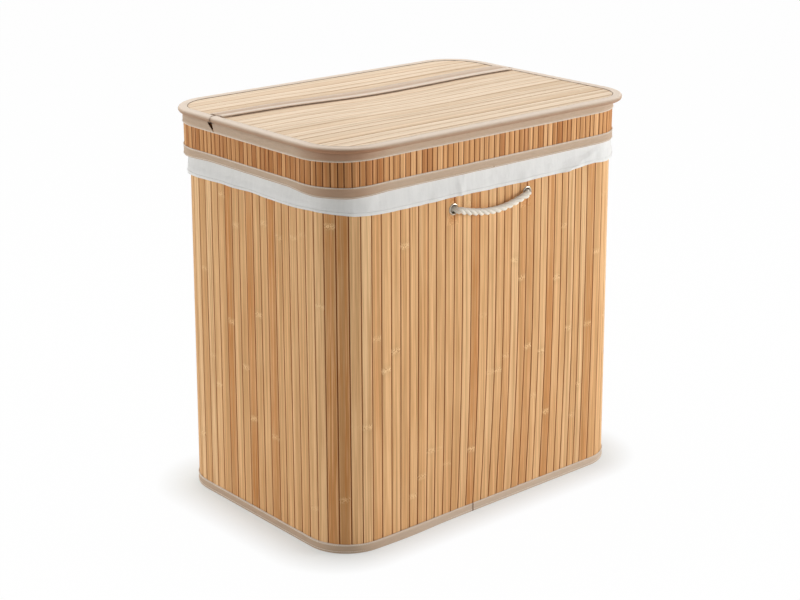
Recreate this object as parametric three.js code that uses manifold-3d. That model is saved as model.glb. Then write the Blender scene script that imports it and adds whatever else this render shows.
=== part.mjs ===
// Laundry hamper with two bins: a rounded-rectangular wall of upright bamboo laths, a lift-out cloth liner with a
// divider, a lath-skirted lid whose front two thirds hinge open, and a rope handle through eyelets, front and back.
// Millimetres, +Z up, X along the width, the front face towards -Y, the origin on the floor under the middle.
import * as THREE from "three";
import { mergeVertices } from "three/addons/utils/BufferGeometryUtils.js";
import Module from "manifold-3d";

const wasm = await Module();
wasm.setup();

// Driving dimensions of the wall, outside its laths
const wallHeight = 593.2;
const wallTopWidth = 579;
const wallTopDepth = 390.4;
const wallFlareX = 4.5; // how much further out each end stands at the floor
const wallFlareY = 5.8; // the same for the front and the back
const wallCorner = 68;

// Stock that the pieces are made of
const fit = 0.3; // gap between pieces that touch
const backing = 0.8; // cloth that the wall's laths are glued to
const lath = 2.2;
const lathPitch = 17;
const lathGap = 1.6;
const lathEdge = 0.5; // slope on each long edge of a lath
const tape = 0.7; // woven binding tape
const cloth = 0.8; // liner cloth
const baseBoard = 3.5;
const lidBoard = 3;

// Hems of the wall
const bottomTapeHeight = 15;
const bottomTapeFlange = 14; // how far the tape runs in under the base board
const topTapeHeight = 16;
const hoopWire = 2.8;

// Rope handles and their eyelets
const handleSpan = 147.3; // between the eyelet centres of one handle
const handleShift = 2.15; // the handle's middle lies this far off the wall's middle
const handleBelowCuff = 18.1;
const rope = 11;
const eyeletBore = 11.7;
const eyeletBarrel = 0.9;
const eyeletFlange = 17.4;
const eyeletRise = 1.2;
const knotWidth = 23;
const knotDepth = 15;

// Liner
const cuffDrop = 90.4; // outer fall of the liner over the wall
const cuffInnerDrop = 20;
const cuffFold = 0.8; // how far the cuff's folds stand off
const cuffRipple = 1.2; // rise and fall of the cuff's lower edge
const cuffFoldStart = 72; // the folds begin this far below the rim
const lining = 1; // doubled cloth of the bins
const binKneeDrop = 50; // below the rim, where a bin starts to draw in
const binKnee = 44; // height over which it draws in
const binSlack = 3; // between a bin and the knots
const dividerThickness = 2;
const dividerDrop = 34;

// Lid
const skirtDepth = 61.8;
const skirtLath = 1.4;
const skirtBacking = 0.6;
const skirtPitch = 10;
const skirtGap = 1.2;
const skirtEdge = 0.4;
const skirtSlack = 1.4; // between the skirt and the cuff
const skirtUpperTape = 13;
const skirtLowerTape = 15.5;
const lidOverhangEnd = 2.4; // the rim stands this far past the skirt at each end
const lidOverhangFront = 9.9;
const lidCorner = 72;
const lidLath = 1.8;
const lidBacking = 0.5;
const rimLip = 1.1; // thickness of the rim tape over and under the board
const rimCover = 10; // how far it covers the laths
const rimCoverUnder = 14; // the tape runs in under the board and lies on the cuff
const splitShare = 0.209; // the lid is hinged this share of the wall's depth behind its middle
const splitGap = 1;
const flapBackCorner = 10;
const hingeTapeWidth = 20;
const notchWidth = 3; // the skirt's upper tape is parted this wide under the split

// How finely round shapes are drawn
const rimSteps = 10;
const smallSteps = 4;
const beadSteps = 6;
const eyeletSteps = 20;
const knotSteps = 12;
const ropeSides = 10;
const ropeSteps = 24;
const hoopSides = 6;
const cuffBays = { long: 16, short: 9 };

const quarter = Math.PI / 2;
const overrun = 5; // how far a cutter runs past what it cuts

// Materials
const bamboo = { color: 0xd3a676, roughness: 0.55, metalness: 0 };
const lidBamboo = { color: 0xe6d0b7, roughness: 0.5, metalness: 0 };
const bindingTape = { color: 0xc4b09a, roughness: 0.9, metalness: 0 };
const linerCloth = { color: 0xdcdbd8, roughness: 0.95, metalness: 0 };
const fibreboard = { color: 0x8a6a48, roughness: 0.8, metalness: 0 };
const ropeCotton = { color: 0xe5dbcb, roughness: 0.95, metalness: 0 };
const nickel = { color: 0xb9b7b2, roughness: 0.3, metalness: 0.9 };
const springWire = { color: 0x9a9a98, roughness: 0.4, metalness: 0.8 };

const hamper = new THREE.Group();

function addPiece(name, geometry, material) {
  const mesh = new THREE.Mesh(geometry, new THREE.MeshStandardMaterial(material));
  mesh.name = name;
  hamper.add(mesh);
  return mesh;
}

// Outlines in plan: a rectangle with a radius for each corner, from the back right one round to the left

function outline(halfWidth, halfDepth, radius) {
  return {
    left: -halfWidth,
    right: halfWidth,
    front: -halfDepth,
    back: halfDepth,
    radii: [radius, radius, radius, radius],
  };
}

function grown(shape, by) {
  return {
    left: shape.left - by,
    right: shape.right + by,
    front: shape.front - by,
    back: shape.back + by,
    radii: shape.radii.map((r) => r + by),
  };
}

function cornerCentre(shape, corner) {
  const r = shape.radii[corner];
  const onLeft = corner === 1 || corner === 2;
  const x = onLeft ? shape.left + r : shape.right - r;
  const y = corner < 2 ? shape.back - r : shape.front + r;
  return { x, y, r };
}

// A station is a place on an outline with the direction that points out of it
function station(x, y, angle) {
  return { x, y, nx: Math.cos(angle), ny: Math.sin(angle) };
}

function cornerStations(shape, corner, steps, trim = 0) {
  const { x, y, r } = cornerCentre(shape, corner);
  const inset = trim / r;
  const sweepAngle = quarter - 2 * inset;
  const made = [];
  for (let k = 0; k <= steps; k++) {
    const angle = corner * quarter + inset + (sweepAngle * k) / steps;
    made.push({ ...station(x + r * Math.cos(angle), y + r * Math.sin(angle), angle), turn: r });
  }
  return made;
}

function loopStations(shape, steps) {
  return shape.radii.flatMap((r, corner) => cornerStations(shape, corner, steps[corner]));
}

// Extra stations along the straight sides, so that cloth can fold there
function dividedLoop(shape, steps, bays) {
  const made = [];
  for (let corner = 0; corner < 4; corner++) {
    const here = cornerStations(shape, corner, steps);
    const next = cornerStations(shape, (corner + 1) % 4, steps)[0];
    const last = here[here.length - 1];
    const count = corner % 2 === 0 ? bays.long : bays.short;
    made.push(...here);
    for (let k = 1; k < count; k++) {
      const t = k / count;
      made.push({ ...last, x: last.x + (next.x - last.x) * t, y: last.y + (next.y - last.y) * t });
    }
  }
  return made;
}

function planShape(stations) {
  return new THREE.Shape(stations.map((s) => new THREE.Vector2(s.x, s.y)));
}

// Solids

function closedGeometry(positions, indices) {
  const geometry = new THREE.BufferGeometry();
  geometry.setAttribute("position", new THREE.Float32BufferAttribute(positions, 3));
  geometry.setIndex(indices);
  return turnedOut(geometry);
}

// Turns every face over if the solid's volume comes out negative
function turnedOut(geometry) {
  const at = geometry.attributes.position;
  const index = geometry.index.array;
  const [a, b, c] = [new THREE.Vector3(), new THREE.Vector3(), new THREE.Vector3()];
  let volume = 0;
  for (let i = 0; i < index.length; i += 3) {
    a.fromBufferAttribute(at, index[i]);
    b.fromBufferAttribute(at, index[i + 1]);
    c.fromBufferAttribute(at, index[i + 2]);
    volume += a.dot(b.cross(c));
  }
  if (volume < 0) {
    for (let i = 0; i < index.length; i += 3) {
      [index[i + 1], index[i + 2]] = [index[i + 2], index[i + 1]];
    }
  }
  return geometry;
}

// Carries a section of [outward, height] points along stations. The section may be a function of the station.
function sweep(stations, section, closed) {
  const sectionAt = typeof section === "function" ? section : () => section;
  const rows = stations.map((s) => sectionAt(s));
  const size = rows[0].length;
  const positions = [];
  stations.forEach((s, i) => {
    for (const [out, height] of rows[i]) positions.push(s.x + s.nx * out, s.y + s.ny * out, height);
  });
  const indices = [];
  const spans = closed ? stations.length : stations.length - 1;
  for (let i = 0; i < spans; i++) {
    const here = i * size;
    const there = ((i + 1) % stations.length) * size;
    for (let j = 0; j < size; j++) {
      const k = (j + 1) % size;
      indices.push(here + j, there + j, there + k, here + j, there + k, here + k);
    }
  }
  if (!closed) {
    const end = (stations.length - 1) * size;
    const contour = rows[0].map(([out, height]) => new THREE.Vector2(out, height));
    const sense = Math.sign(THREE.ShapeUtils.area(contour));
    for (const [p, q, r] of THREE.ShapeUtils.triangulateShape(contour, [])) {
      const face = THREE.ShapeUtils.area([contour[p], contour[q], contour[r]]);
      const [s, t] = Math.sign(face) === sense ? [q, r] : [r, q];
      indices.push(p, s, t, end + p, end + t, end + s);
    }
  }
  return closedGeometry(positions, indices);
}

function slab(shape, bottom, thickness) {
  const geometry = new THREE.ExtrudeGeometry(shape, { depth: thickness, bevelEnabled: false });
  return geometry.translate(0, 0, bottom);
}

function toSolid(geometry) {
  const bare = geometry.clone();
  bare.deleteAttribute("normal");
  bare.deleteAttribute("uv");
  const merged = mergeVertices(bare);
  const vertProperties = new Float32Array(merged.attributes.position.array);
  const triVerts = new Uint32Array(merged.index.array);
  return new wasm.Manifold(new wasm.Mesh({ numProp: 3, vertProperties, triVerts }));
}

function fromSolid(solid) {
  const { vertProperties, triVerts } = solid.getMesh();
  const geometry = new THREE.BufferGeometry();
  geometry.setAttribute("position", new THREE.BufferAttribute(vertProperties, 3));
  geometry.setIndex(new THREE.BufferAttribute(triVerts, 1));
  return geometry;
}

// Laths glued side by side on cloth: an outline for a run of the given length, where point(along, out) gives a place
// in plan and out is 0 on the laths' faces
function lathOutline(point, length, stock) {
  const count = Math.max(1, Math.round(length / stock.pitch));
  const step = length / count;
  const front = [];
  const behind = [];
  const back = -stock.lath - stock.backing;
  for (let i = 0; i < count; i++) {
    const start = i * step + stock.gap / 2;
    const end = (i + 1) * step - stock.gap / 2;
    front.push(point(start, -stock.lath), point(start + stock.edge, 0));
    front.push(point(end - stock.edge, 0), point(end, -stock.lath));
  }
  const bends = stock.bent ? count : 1;
  for (let i = bends; i >= 0; i--) {
    const along = Math.min(Math.max((i * length) / bends, fit / 2), length - fit / 2);
    behind.push(point(along, back));
  }
  const ends = [point(length - fit / 2, -stock.lath), point(fit / 2, -stock.lath)];
  return new THREE.Shape([...front, ends[0], ...behind, ends[1]]);
}

function flatMat(shape, side, stock) {
  const from = cornerStations(shape, side, 1)[1];
  const to = cornerStations(shape, (side + 1) % 4, 1)[0];
  const length = Math.hypot(to.x - from.x, to.y - from.y);
  const along = { x: (to.x - from.x) / length, y: (to.y - from.y) / length };
  const point = (s, out) =>
    new THREE.Vector2(from.x + along.x * s + from.nx * out, from.y + along.y * s + from.ny * out);
  return lathOutline(point, length, stock);
}

function cornerMat(shape, corner, stock) {
  const { x, y, r } = cornerCentre(shape, corner);
  const point = (s, out) => {
    const angle = corner * quarter + s / r;
    return new THREE.Vector2(x + (r + out) * Math.cos(angle), y + (r + out) * Math.sin(angle));
  };
  return lathOutline(point, r * quarter, { ...stock, bent: true });
}

function cornerLaths(radius, pitch) {
  return Math.max(1, Math.round((radius * quarter) / pitch));
}

// How far outside a faceted lath corner a tape with the same facets has to lie to clear it by the fit
function clearOfLaths(radius, stock) {
  const half = quarter / 2 / cornerLaths(radius, stock.pitch);
  const margin = (stock.gap / 2 + stock.edge) / radius;
  return (radius * Math.cos(half - margin) + fit) / Math.cos(half) - radius;
}

// Moves the points of a wall piece out towards the floor: the corners keep their radius and the sides stretch
const wall = outline(wallTopWidth / 2, wallTopDepth / 2, wallCorner);

function flareAt(height) {
  const share = 1 - height / wallHeight;
  return { x: wallFlareX * share, y: wallFlareY * share };
}

function flared(geometry) {
  const at = geometry.attributes.position;
  const straightX = wall.right - wallCorner;
  const straightY = wall.back - wallCorner;
  const moved = (value, straight, flare) => value + flare * THREE.MathUtils.clamp(value / straight, -1, 1);
  for (let i = 0; i < at.count; i++) {
    const flare = flareAt(at.getZ(i));
    at.setX(i, moved(at.getX(i), straightX, flare.x));
    at.setY(i, moved(at.getY(i), straightY, flare.y));
  }
  return geometry;
}

const sides = ["back", "left", "front", "right"];
const corners = ["back_right", "back_left", "front_left", "front_right"];
const wallStock = { lath, backing, pitch: lathPitch, gap: lathGap, edge: lathEdge };
const wallThickness = lath + backing;
const wallSteps = cornerLaths(wallCorner, lathPitch);
const tapeOnWall = clearOfLaths(wallCorner, wallStock);

// Eyelets sit at one height, and each handle is the other's copy turned half round
const handleZ = wallHeight - cuffDrop - handleBelowCuff;
const wallFaceAtHandle = wall.back + flareAt(handleZ).y;
const eyeletXs = [-handleShift - handleSpan / 2, -handleShift + handleSpan / 2];
const eyeletFace = wallFaceAtHandle + fit + eyeletRise;

function turnedTo(side, geometry) {
  return side === "front" ? geometry : geometry.rotateZ(Math.PI);
}

// The basket's wall
const wallBottom = tape + fit;

function wallMat(shape) {
  return flared(slab(shape, wallBottom, wallHeight - wallBottom));
}

function withEyeletHoles(geometry, side) {
  let solid = toSolid(geometry);
  const radius = eyeletBore / 2 + eyeletBarrel + fit;
  for (const x of eyeletXs) {
    const depth = 2 * (wallThickness + overrun);
    const drill = new THREE.CylinderGeometry(radius, radius, depth, eyeletSteps);
    drill.translate(x, -wallFaceAtHandle, handleZ);
    solid = solid.subtract(toSolid(turnedTo(side, drill)));
  }
  return fromSolid(solid);
}

for (let i = 0; i < 4; i++) {
  let mat = wallMat(flatMat(wall, i, wallStock));
  if (sides[i] === "front" || sides[i] === "back") mat = withEyeletHoles(mat, sides[i]);
  addPiece(`wall_${sides[i]}`, mat, bamboo);
  addPiece(`wall_corner_${corners[i]}`, wallMat(cornerMat(wall, i, wallStock)), bamboo);
}

// Tape round the wall's foot, which runs in under the base board and carries it
const wallLoop = loopStations(wall, [wallSteps, wallSteps, wallSteps, wallSteps]);
const bottomTapeSection = [
  [tapeOnWall + tape, 0],
  [tapeOnWall + tape, bottomTapeHeight],
  [tapeOnWall, bottomTapeHeight],
  [tapeOnWall, tape],
  [-wallThickness - bottomTapeFlange, tape],
  [-wallThickness - bottomTapeFlange, 0],
];
addPiece("bottom_tape", flared(sweep(wallLoop, bottomTapeSection, true)), bindingTape);

const boardPlan = planShape(loopStations(grown(wall, -wallThickness - fit), Array(4).fill(wallSteps)));
addPiece("base_board", flared(slab(boardPlan, wallBottom, baseBoard)), fibreboard);

// Tape and sprung wire at the wall's top edge
const hoopOut = -wallThickness - fit - hoopWire / 2;
const hemInside = hoopOut - hoopWire / 2 - fit;
const hemTop = wallHeight + fit;
const topTapeSection = [
  [tapeOnWall + tape, wallHeight - topTapeHeight],
  [tapeOnWall + tape, hemTop + tape],
  [hemInside - tape, hemTop + tape],
  [hemInside - tape, wallHeight - topTapeHeight],
  [hemInside, wallHeight - topTapeHeight],
  [hemInside, hemTop],
  [tapeOnWall, hemTop],
  [tapeOnWall, wallHeight - topTapeHeight],
];
addPiece("top_tape", flared(sweep(wallLoop, topTapeSection, true)), bindingTape);

const hoopSection = Array.from({ length: hoopSides }, (_, k) => {
  const angle = (k * 2 * Math.PI) / hoopSides;
  const radius = hoopWire / 2;
  return [hoopOut + radius * Math.cos(angle), wallHeight - radius + radius * Math.sin(angle)];
});
addPiece("top_hoop", flared(sweep(wallLoop, hoopSection, true)), springWire);

// Eyelets, each turned from its flange, barrel and rolled back edge
function revolved(profile, steps) {
  const points = [...profile, profile[0]].map(([r, y]) => new THREE.Vector2(r, y));
  const geometry = new THREE.LatheGeometry(points, steps);
  geometry.deleteAttribute("normal");
  geometry.deleteAttribute("uv");
  return turnedOut(mergeVertices(geometry));
}

const boreRadius = eyeletBore / 2;
const barrelRadius = boreRadius + eyeletBarrel;
const flangeRadius = eyeletFlange / 2;
const backRadius = (barrelRadius + flangeRadius) / 2;
const eyeletFront = fit + eyeletRise;
const eyeletBack = -wallThickness - fit;
const eyeletProfile = [
  [boreRadius, eyeletBack - eyeletBarrel],
  [backRadius, eyeletBack - eyeletBarrel],
  [backRadius, eyeletBack],
  [barrelRadius, eyeletBack],
  [barrelRadius, fit],
  [flangeRadius, fit],
  [flangeRadius - eyeletRise / 2, eyeletFront],
  [boreRadius + eyeletRise / 2, eyeletFront],
  [boreRadius, fit + eyeletRise / 2],
];

// The rope's end inside the wall: a stub through the eyelet and the knot that holds it
const stubRadius = rope / 2;
const knotFront = eyeletBack - eyeletBarrel - fit;
const knotRadius = knotWidth / 2;
const knotProfile = [
  [0, eyeletFront],
  [stubRadius, eyeletFront],
  [stubRadius, knotFront],
  [knotRadius * Math.cos(quarter / 2), knotFront],
  [knotRadius, knotFront - knotDepth / 4],
  [knotRadius, knotFront - knotDepth / 2],
  [knotRadius * Math.cos(quarter / 2), knotFront - (knotDepth * 7) / 8],
  [stubRadius, knotFront - knotDepth],
  [0, knotFront - knotDepth],
];

// A revolved piece stands on +Y, which is turned to point out of the front
function onWall(geometry, x, side) {
  geometry.rotateX(Math.PI).translate(x, -wallFaceAtHandle, handleZ);
  return turnedTo(side, geometry);
}

for (const side of ["front", "back"]) {
  eyeletXs.forEach((x, i) => {
    const end = (i === 0) === (side === "front") ? "left" : "right";
    addPiece(`eyelet_${side}_${end}`, onWall(revolved(eyeletProfile, eyeletSteps), x, side), nickel);
    addPiece(`rope_knot_${side}_${end}`, onWall(revolved(knotProfile, knotSteps), x, side), ropeCotton);
  });
}

// The front handle's route, from left to right: it hangs against the wall between its eyelets
const ropeRoute = [
  [-80, -203.7, 484.7],
  [-75.8, -203.7, 484.4],
  [-68, -203.7, 482.6],
  [-60, -203.7, 480.4],
  [-52, -203.7, 478.4],
  [-44, -203.7, 476.6],
  [-35, -203.7, 474.9],
  [-25, -203.7, 473.3],
  [-14, -203.7, 472.1],
  [-2, -203.7, 471.6],
  [10, -203.7, 472],
  [21, -203.7, 473.1],
  [31, -203.7, 474.8],
  [41, -203.7, 477.1],
  [50, -203.7, 479.5],
  [58, -203.7, 481.8],
  [65, -203.7, 483.6],
  [71.5, -203.7, 484.5],
  [75.7, -203.7, 484.7],
];

function ropeHandle() {
  const curve = new THREE.CatmullRomCurve3(ropeRoute.map((p) => new THREE.Vector3(...p)));
  const section = new THREE.Shape();
  for (let k = 0; k < ropeSides; k++) {
    const angle = (k * 2 * Math.PI) / ropeSides;
    const move = k === 0 ? "moveTo" : "lineTo";
    section[move](stubRadius * Math.cos(angle), stubRadius * Math.sin(angle));
  }
  section.closePath();
  return new THREE.ExtrudeGeometry(section, { steps: ropeSteps, extrudePath: curve, bevelEnabled: false });
}

addPiece("front_rope", ropeHandle(), ropeCotton);
addPiece("back_rope", turnedTo("back", ropeHandle()), ropeCotton);

// Liner: the cuff goes over the wall's top hem and falls outside it
const rimTop = hemTop + tape + fit + cloth;
const cuffOut = tapeOnWall + tape + fit;
const cuffIn = hemInside - tape - fit;
const cuffLow = wallHeight - cuffDrop;
const foldTop = wallHeight - cuffFoldStart;

// Soft folds in the cuff: a few long waves round the hamper, added up
function foldAt(s) {
  const turn = Math.atan2(s.y, s.x);
  const waves = Math.sin(9 * turn + 1) + Math.sin(14 * turn) + Math.sin(23 * turn + 2);
  return (waves + 3) / 6;
}

function cuffSection(s) {
  const off = cuffFold * foldAt(s);
  const low = cuffLow + cuffRipple * (foldAt(s) - 0.5);
  return [
    [cuffOut + cloth + off, low],
    [cuffOut + cloth, foldTop],
    [cuffOut + cloth, rimTop],
    [cuffIn - cloth, rimTop],
    [cuffIn - cloth, rimTop - cuffInnerDrop],
    [cuffIn, rimTop - cuffInnerDrop],
    [cuffIn, rimTop - cloth],
    [cuffOut, rimTop - cloth],
    [cuffOut, foldTop],
    [cuffOut + off, low],
  ];
}

addPiece("liner_cuff", flared(sweep(dividedLoop(wall, wallSteps, cuffBays), cuffSection, true)), linerCloth);

// The bins hang from the cuff and draw in to pass the rope knots
const binTop = rimTop - cloth - fit;
const binTopOut = cuffIn - cloth - fit;
const binOut = -wallThickness - fit - eyeletBarrel - fit - knotDepth - binSlack;
const binKneeTop = rimTop - binKneeDrop;
const binFoot = wallBottom + baseBoard + fit;
const binSection = [
  [binTopOut, binTop],
  [binTopOut, binKneeTop],
  [binOut, binKneeTop - binKnee],
  [binOut, binFoot],
  [binOut - lining, binFoot],
  [binOut - lining, binKneeTop - binKnee],
  [binTopOut - lining, binKneeTop],
  [binTopOut - lining, binTop],
];

function sidePanel(shape, side, section) {
  const from = cornerStations(shape, side, 1)[1];
  const to = cornerStations(shape, (side + 1) % 4, 1)[0];
  const share = fit / 2 / Math.hypot(to.x - from.x, to.y - from.y);
  const between = (t) => ({ ...from, x: from.x + (to.x - from.x) * t, y: from.y + (to.y - from.y) * t });
  return sweep([between(share), between(1 - share)], section, false);
}

for (let i = 0; i < 4; i++) {
  addPiece(`liner_${sides[i]}`, sidePanel(wall, i, binSection), linerCloth);
  const round = cornerStations(wall, i, wallSteps, fit / 2);
  addPiece(`liner_corner_${corners[i]}`, sweep(round, binSection, false), linerCloth);
}

const binInside = grown(wall, binOut - lining - fit);
const floorTop = binFoot + lining;
for (const [end, sign] of [["left", -1], ["right", 1]]) {
  const plan = { ...binInside, radii: [...binInside.radii] };
  plan[sign < 0 ? "right" : "left"] = (sign * fit) / 2;
  const square = sign < 0 ? [0, 3] : [1, 2];
  const round = sign < 0 ? [1, 2] : [0, 3];
  for (const corner of square) plan.radii[corner] = fit;
  const steps = [0, 1, 2, 3].map((corner) => (round.includes(corner) ? wallSteps : 1));
  addPiece(`bin_floor_${end}`, slab(planShape(loopStations(plan, steps)), binFoot, lining), linerCloth);
}

// The divider fills the liner from front to back and follows the panels' knee
const dividerReach = (out) => wall.back + out - lining - fit;
const dividerTop = rimTop - dividerDrop;
const dividerHalf = [
  [dividerReach(binOut), floorTop + fit],
  [dividerReach(binOut), binKneeTop - binKnee],
  [dividerReach(binTopOut), binKneeTop],
  [dividerReach(binTopOut), dividerTop],
];
const dividerPlan = new THREE.Shape([
  ...dividerHalf.map(([y, z]) => new THREE.Vector2(y, z)),
  ...dividerHalf.toReversed().map(([y, z]) => new THREE.Vector2(-y, z)),
]);
const divider = new THREE.ExtrudeGeometry(dividerPlan, { depth: dividerThickness, bevelEnabled: false });
divider.translate(0, 0, -dividerThickness / 2).rotateX(quarter).rotateZ(quarter);
addPiece("bin_divider", divider, linerCloth);

// Lid: a skirt of narrow laths round the top, a fixed panel at the back and a flap in front
const splitY = wallTopDepth * splitShare;
const lidStack = lidBoard + fit + lidBacking + lidLath;
const boardUnder = rimTop + fit + rimLip + fit;
const beadZ = boardUnder + lidStack / 2;
const beadRadius = lidStack / 2 + fit + rimLip;
const skirtTopTape = beadZ - beadRadius - fit;
const skirtFoot = skirtTopTape - skirtDepth;
const skirtFlare = flareAt(skirtFoot);
const skirtThickness = skirtLath + skirtBacking;
const skirtInset = cuffOut + cloth + skirtSlack;
const skirtOff = skirtInset + skirtThickness;
const skirt = outline(
  wall.right + skirtFlare.x + skirtOff,
  wall.back + skirtFlare.y + skirtOff,
  wallCorner + skirtOff,
);
const skirtStock = { lath: skirtLath, backing: skirtBacking, pitch: skirtPitch, gap: skirtGap, edge: skirtEdge };
const skirtSteps = cornerLaths(skirt.radii[0], skirtPitch);
const tapeOnSkirt = clearOfLaths(skirt.radii[0], skirtStock);
const skirtBottom = skirtFoot + tape + fit;
const skirtTop = skirtTopTape - tape - fit;

for (let i = 0; i < 4; i++) {
  const height = skirtTop - skirtBottom;
  addPiece(`skirt_${sides[i]}`, slab(flatMat(skirt, i, skirtStock), skirtBottom, height), bamboo);
  addPiece(`skirt_corner_${corners[i]}`, slab(cornerMat(skirt, i, skirtStock), skirtBottom, height), bamboo);
}

const lowerTapeSection = [
  [tapeOnSkirt + tape, skirtFoot],
  [tapeOnSkirt + tape, skirtFoot + skirtLowerTape],
  [tapeOnSkirt, skirtFoot + skirtLowerTape],
  [tapeOnSkirt, skirtFoot + tape],
  [-skirtThickness, skirtFoot + tape],
  [-skirtThickness, skirtFoot],
];
const skirtLoop = loopStations(skirt, Array(4).fill(skirtSteps));
addPiece("skirt_lower_tape", sweep(skirtLoop, lowerTapeSection, true), bindingTape);

const upperTapeSection = [
  [tapeOnSkirt + tape, skirtTopTape - skirtUpperTape],
  [tapeOnSkirt + tape, skirtTopTape],
  [-skirtThickness - fit - tape, skirtTopTape],
  [-skirtThickness - fit - tape, skirtTopTape - skirtUpperTape],
  [-skirtThickness - fit, skirtTopTape - skirtUpperTape],
  [-skirtThickness - fit, skirtTopTape - tape],
  [tapeOnSkirt, skirtTopTape - tape],
  [tapeOnSkirt, skirtTopTape - skirtUpperTape],
];

// The stations of an outline behind a line across it, or in front of one
function behindLine(shape, y, steps) {
  return [
    station(shape.right, y, 0),
    ...cornerStations(shape, 0, steps),
    ...cornerStations(shape, 1, steps),
    station(shape.left, y, Math.PI),
  ];
}

function beforeLine(shape, y, steps) {
  return [
    station(shape.left, y, Math.PI),
    ...cornerStations(shape, 2, steps),
    ...cornerStations(shape, 3, steps),
    station(shape.right, y, 0),
  ];
}

const rearTapePath = behindLine(skirt, splitY + notchWidth / 2, skirtSteps);
addPiece("skirt_upper_tape_rear", sweep(rearTapePath, upperTapeSection, false), bindingTape);
const frontTapePath = beforeLine(skirt, splitY - notchWidth / 2, skirtSteps);
addPiece("skirt_upper_tape_front", sweep(frontTapePath, upperTapeSection, false), bindingTape);

// The rim's path is the middle of its bead
const skirtOutside = grown(skirt, tapeOnSkirt + tape);
const rim = outline(
  skirtOutside.right + lidOverhangEnd - beadRadius,
  skirtOutside.back + lidOverhangFront - beadRadius,
  lidCorner - beadRadius,
);
const slotEnd = -rimLip / 2;
const slotHalf = lidStack / 2 + fit;
const beadArc = Array.from({ length: beadSteps + 1 }, (_, k) => {
  const angle = quarter - (k * Math.PI) / beadSteps;
  return [beadRadius * Math.cos(angle), beadZ + beadRadius * Math.sin(angle)];
});

// The tape reaches in no further than the middle of a tight corner
function beadSection(s) {
  const reach = (s.turn ?? Infinity) - fit;
  const over = -Math.min(rimCover, reach);
  const under = -Math.min(rimCoverUnder, reach);
  return [
    ...beadArc,
    [under, beadZ - beadRadius],
    [under, beadZ - slotHalf],
    [slotEnd, beadZ - slotHalf],
    [slotEnd, beadZ + slotHalf],
    [over, beadZ + slotHalf],
    [over, beadZ + beadRadius],
  ];
}

// The laths of the lid run along X. A mat is cut to its plan from laths that run right across.
const lidStock = { lath: lidLath, backing: lidBacking, pitch: lathPitch, gap: lathGap, edge: lathEdge };
const boardTop = boardUnder + lidBoard;

function lidMat(plan, front, back) {
  const length = back - front;
  const point = (s, out) => new THREE.Vector2(front + s, boardTop + fit + lidLath + lidBacking + out);
  const width = 2 * (rim.right + overrun);
  const laths = new THREE.ExtrudeGeometry(lathOutline(point, length, lidStock), { depth: width, bevelEnabled: false });
  laths.translate(0, 0, -width / 2).rotateX(quarter).rotateZ(quarter);
  const cutter = slab(plan, boardTop - overrun, lidStack + 2 * overrun);
  return fromSolid(toSolid(laths).intersect(toSolid(cutter)));
}

const edgeInset = rimLip / 2 + fit;
const flap = {
  ...rim,
  back: splitY - splitGap / 2 - beadRadius,
  radii: [flapBackCorner, flapBackCorner, ...rim.radii.slice(2)],
};
const flapSteps = [smallSteps, smallSteps, rimSteps, rimSteps];
const flapCore = grown(flap, -edgeInset);
const flapPlan = planShape(loopStations(flapCore, flapSteps));
addPiece("flap_board", slab(flapPlan, boardUnder, lidBoard), fibreboard);
addPiece("flap_slat_mat", lidMat(flapPlan, flapCore.front, flapCore.back), lidBamboo);
addPiece("flap_rim_tape", sweep(loopStations(flap, flapSteps), beadSection, true), bindingTape);

const rearFront = splitY + splitGap / 2 + tape + fit;
const rearCore = grown(rim, -edgeInset);
const rearPlan = planShape(behindLine(rearCore, rearFront, rimSteps));
addPiece("rear_board", slab(rearPlan, boardUnder, lidBoard), fibreboard);
addPiece("rear_slat_mat", lidMat(rearPlan, rearFront, rearCore.back), lidBamboo);
const rearRimPath = behindLine(rim, splitY + splitGap / 2, rimSteps);
addPiece("rear_rim_tape", sweep(rearRimPath, beadSection, false), bindingTape);

// Tape folded over the fixed panel's front edge, where the flap turns
const hingeFront = splitY + splitGap / 2;
const hingeTop = boardTop + fit + lidBacking + lidLath + fit;
const hingeSection = [
  [hingeFront, boardUnder],
  [hingeFront, hingeTop + tape],
  [hingeFront + hingeTapeWidth, hingeTop + tape],
  [hingeFront + hingeTapeWidth, hingeTop],
  [hingeFront + tape, hingeTop],
  [hingeFront + tape, boardUnder],
];
const hingeLength = 2 * (rim.right - rimCover - fit);
const hingePlan = new THREE.Shape(hingeSection.map(([y, z]) => new THREE.Vector2(y, z)));
const hingeTape = new THREE.ExtrudeGeometry(hingePlan, { depth: hingeLength, bevelEnabled: false });
hingeTape.translate(0, 0, -hingeLength / 2).rotateX(quarter).rotateZ(quarter);
addPiece("hinge_tape", hingeTape, bindingTape);

export default hamper;
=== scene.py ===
# Looks of the laundry hamper with two bins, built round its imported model.
import math
import random

import bpy
import numpy as np
from mathutils import Matrix, Vector


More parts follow.
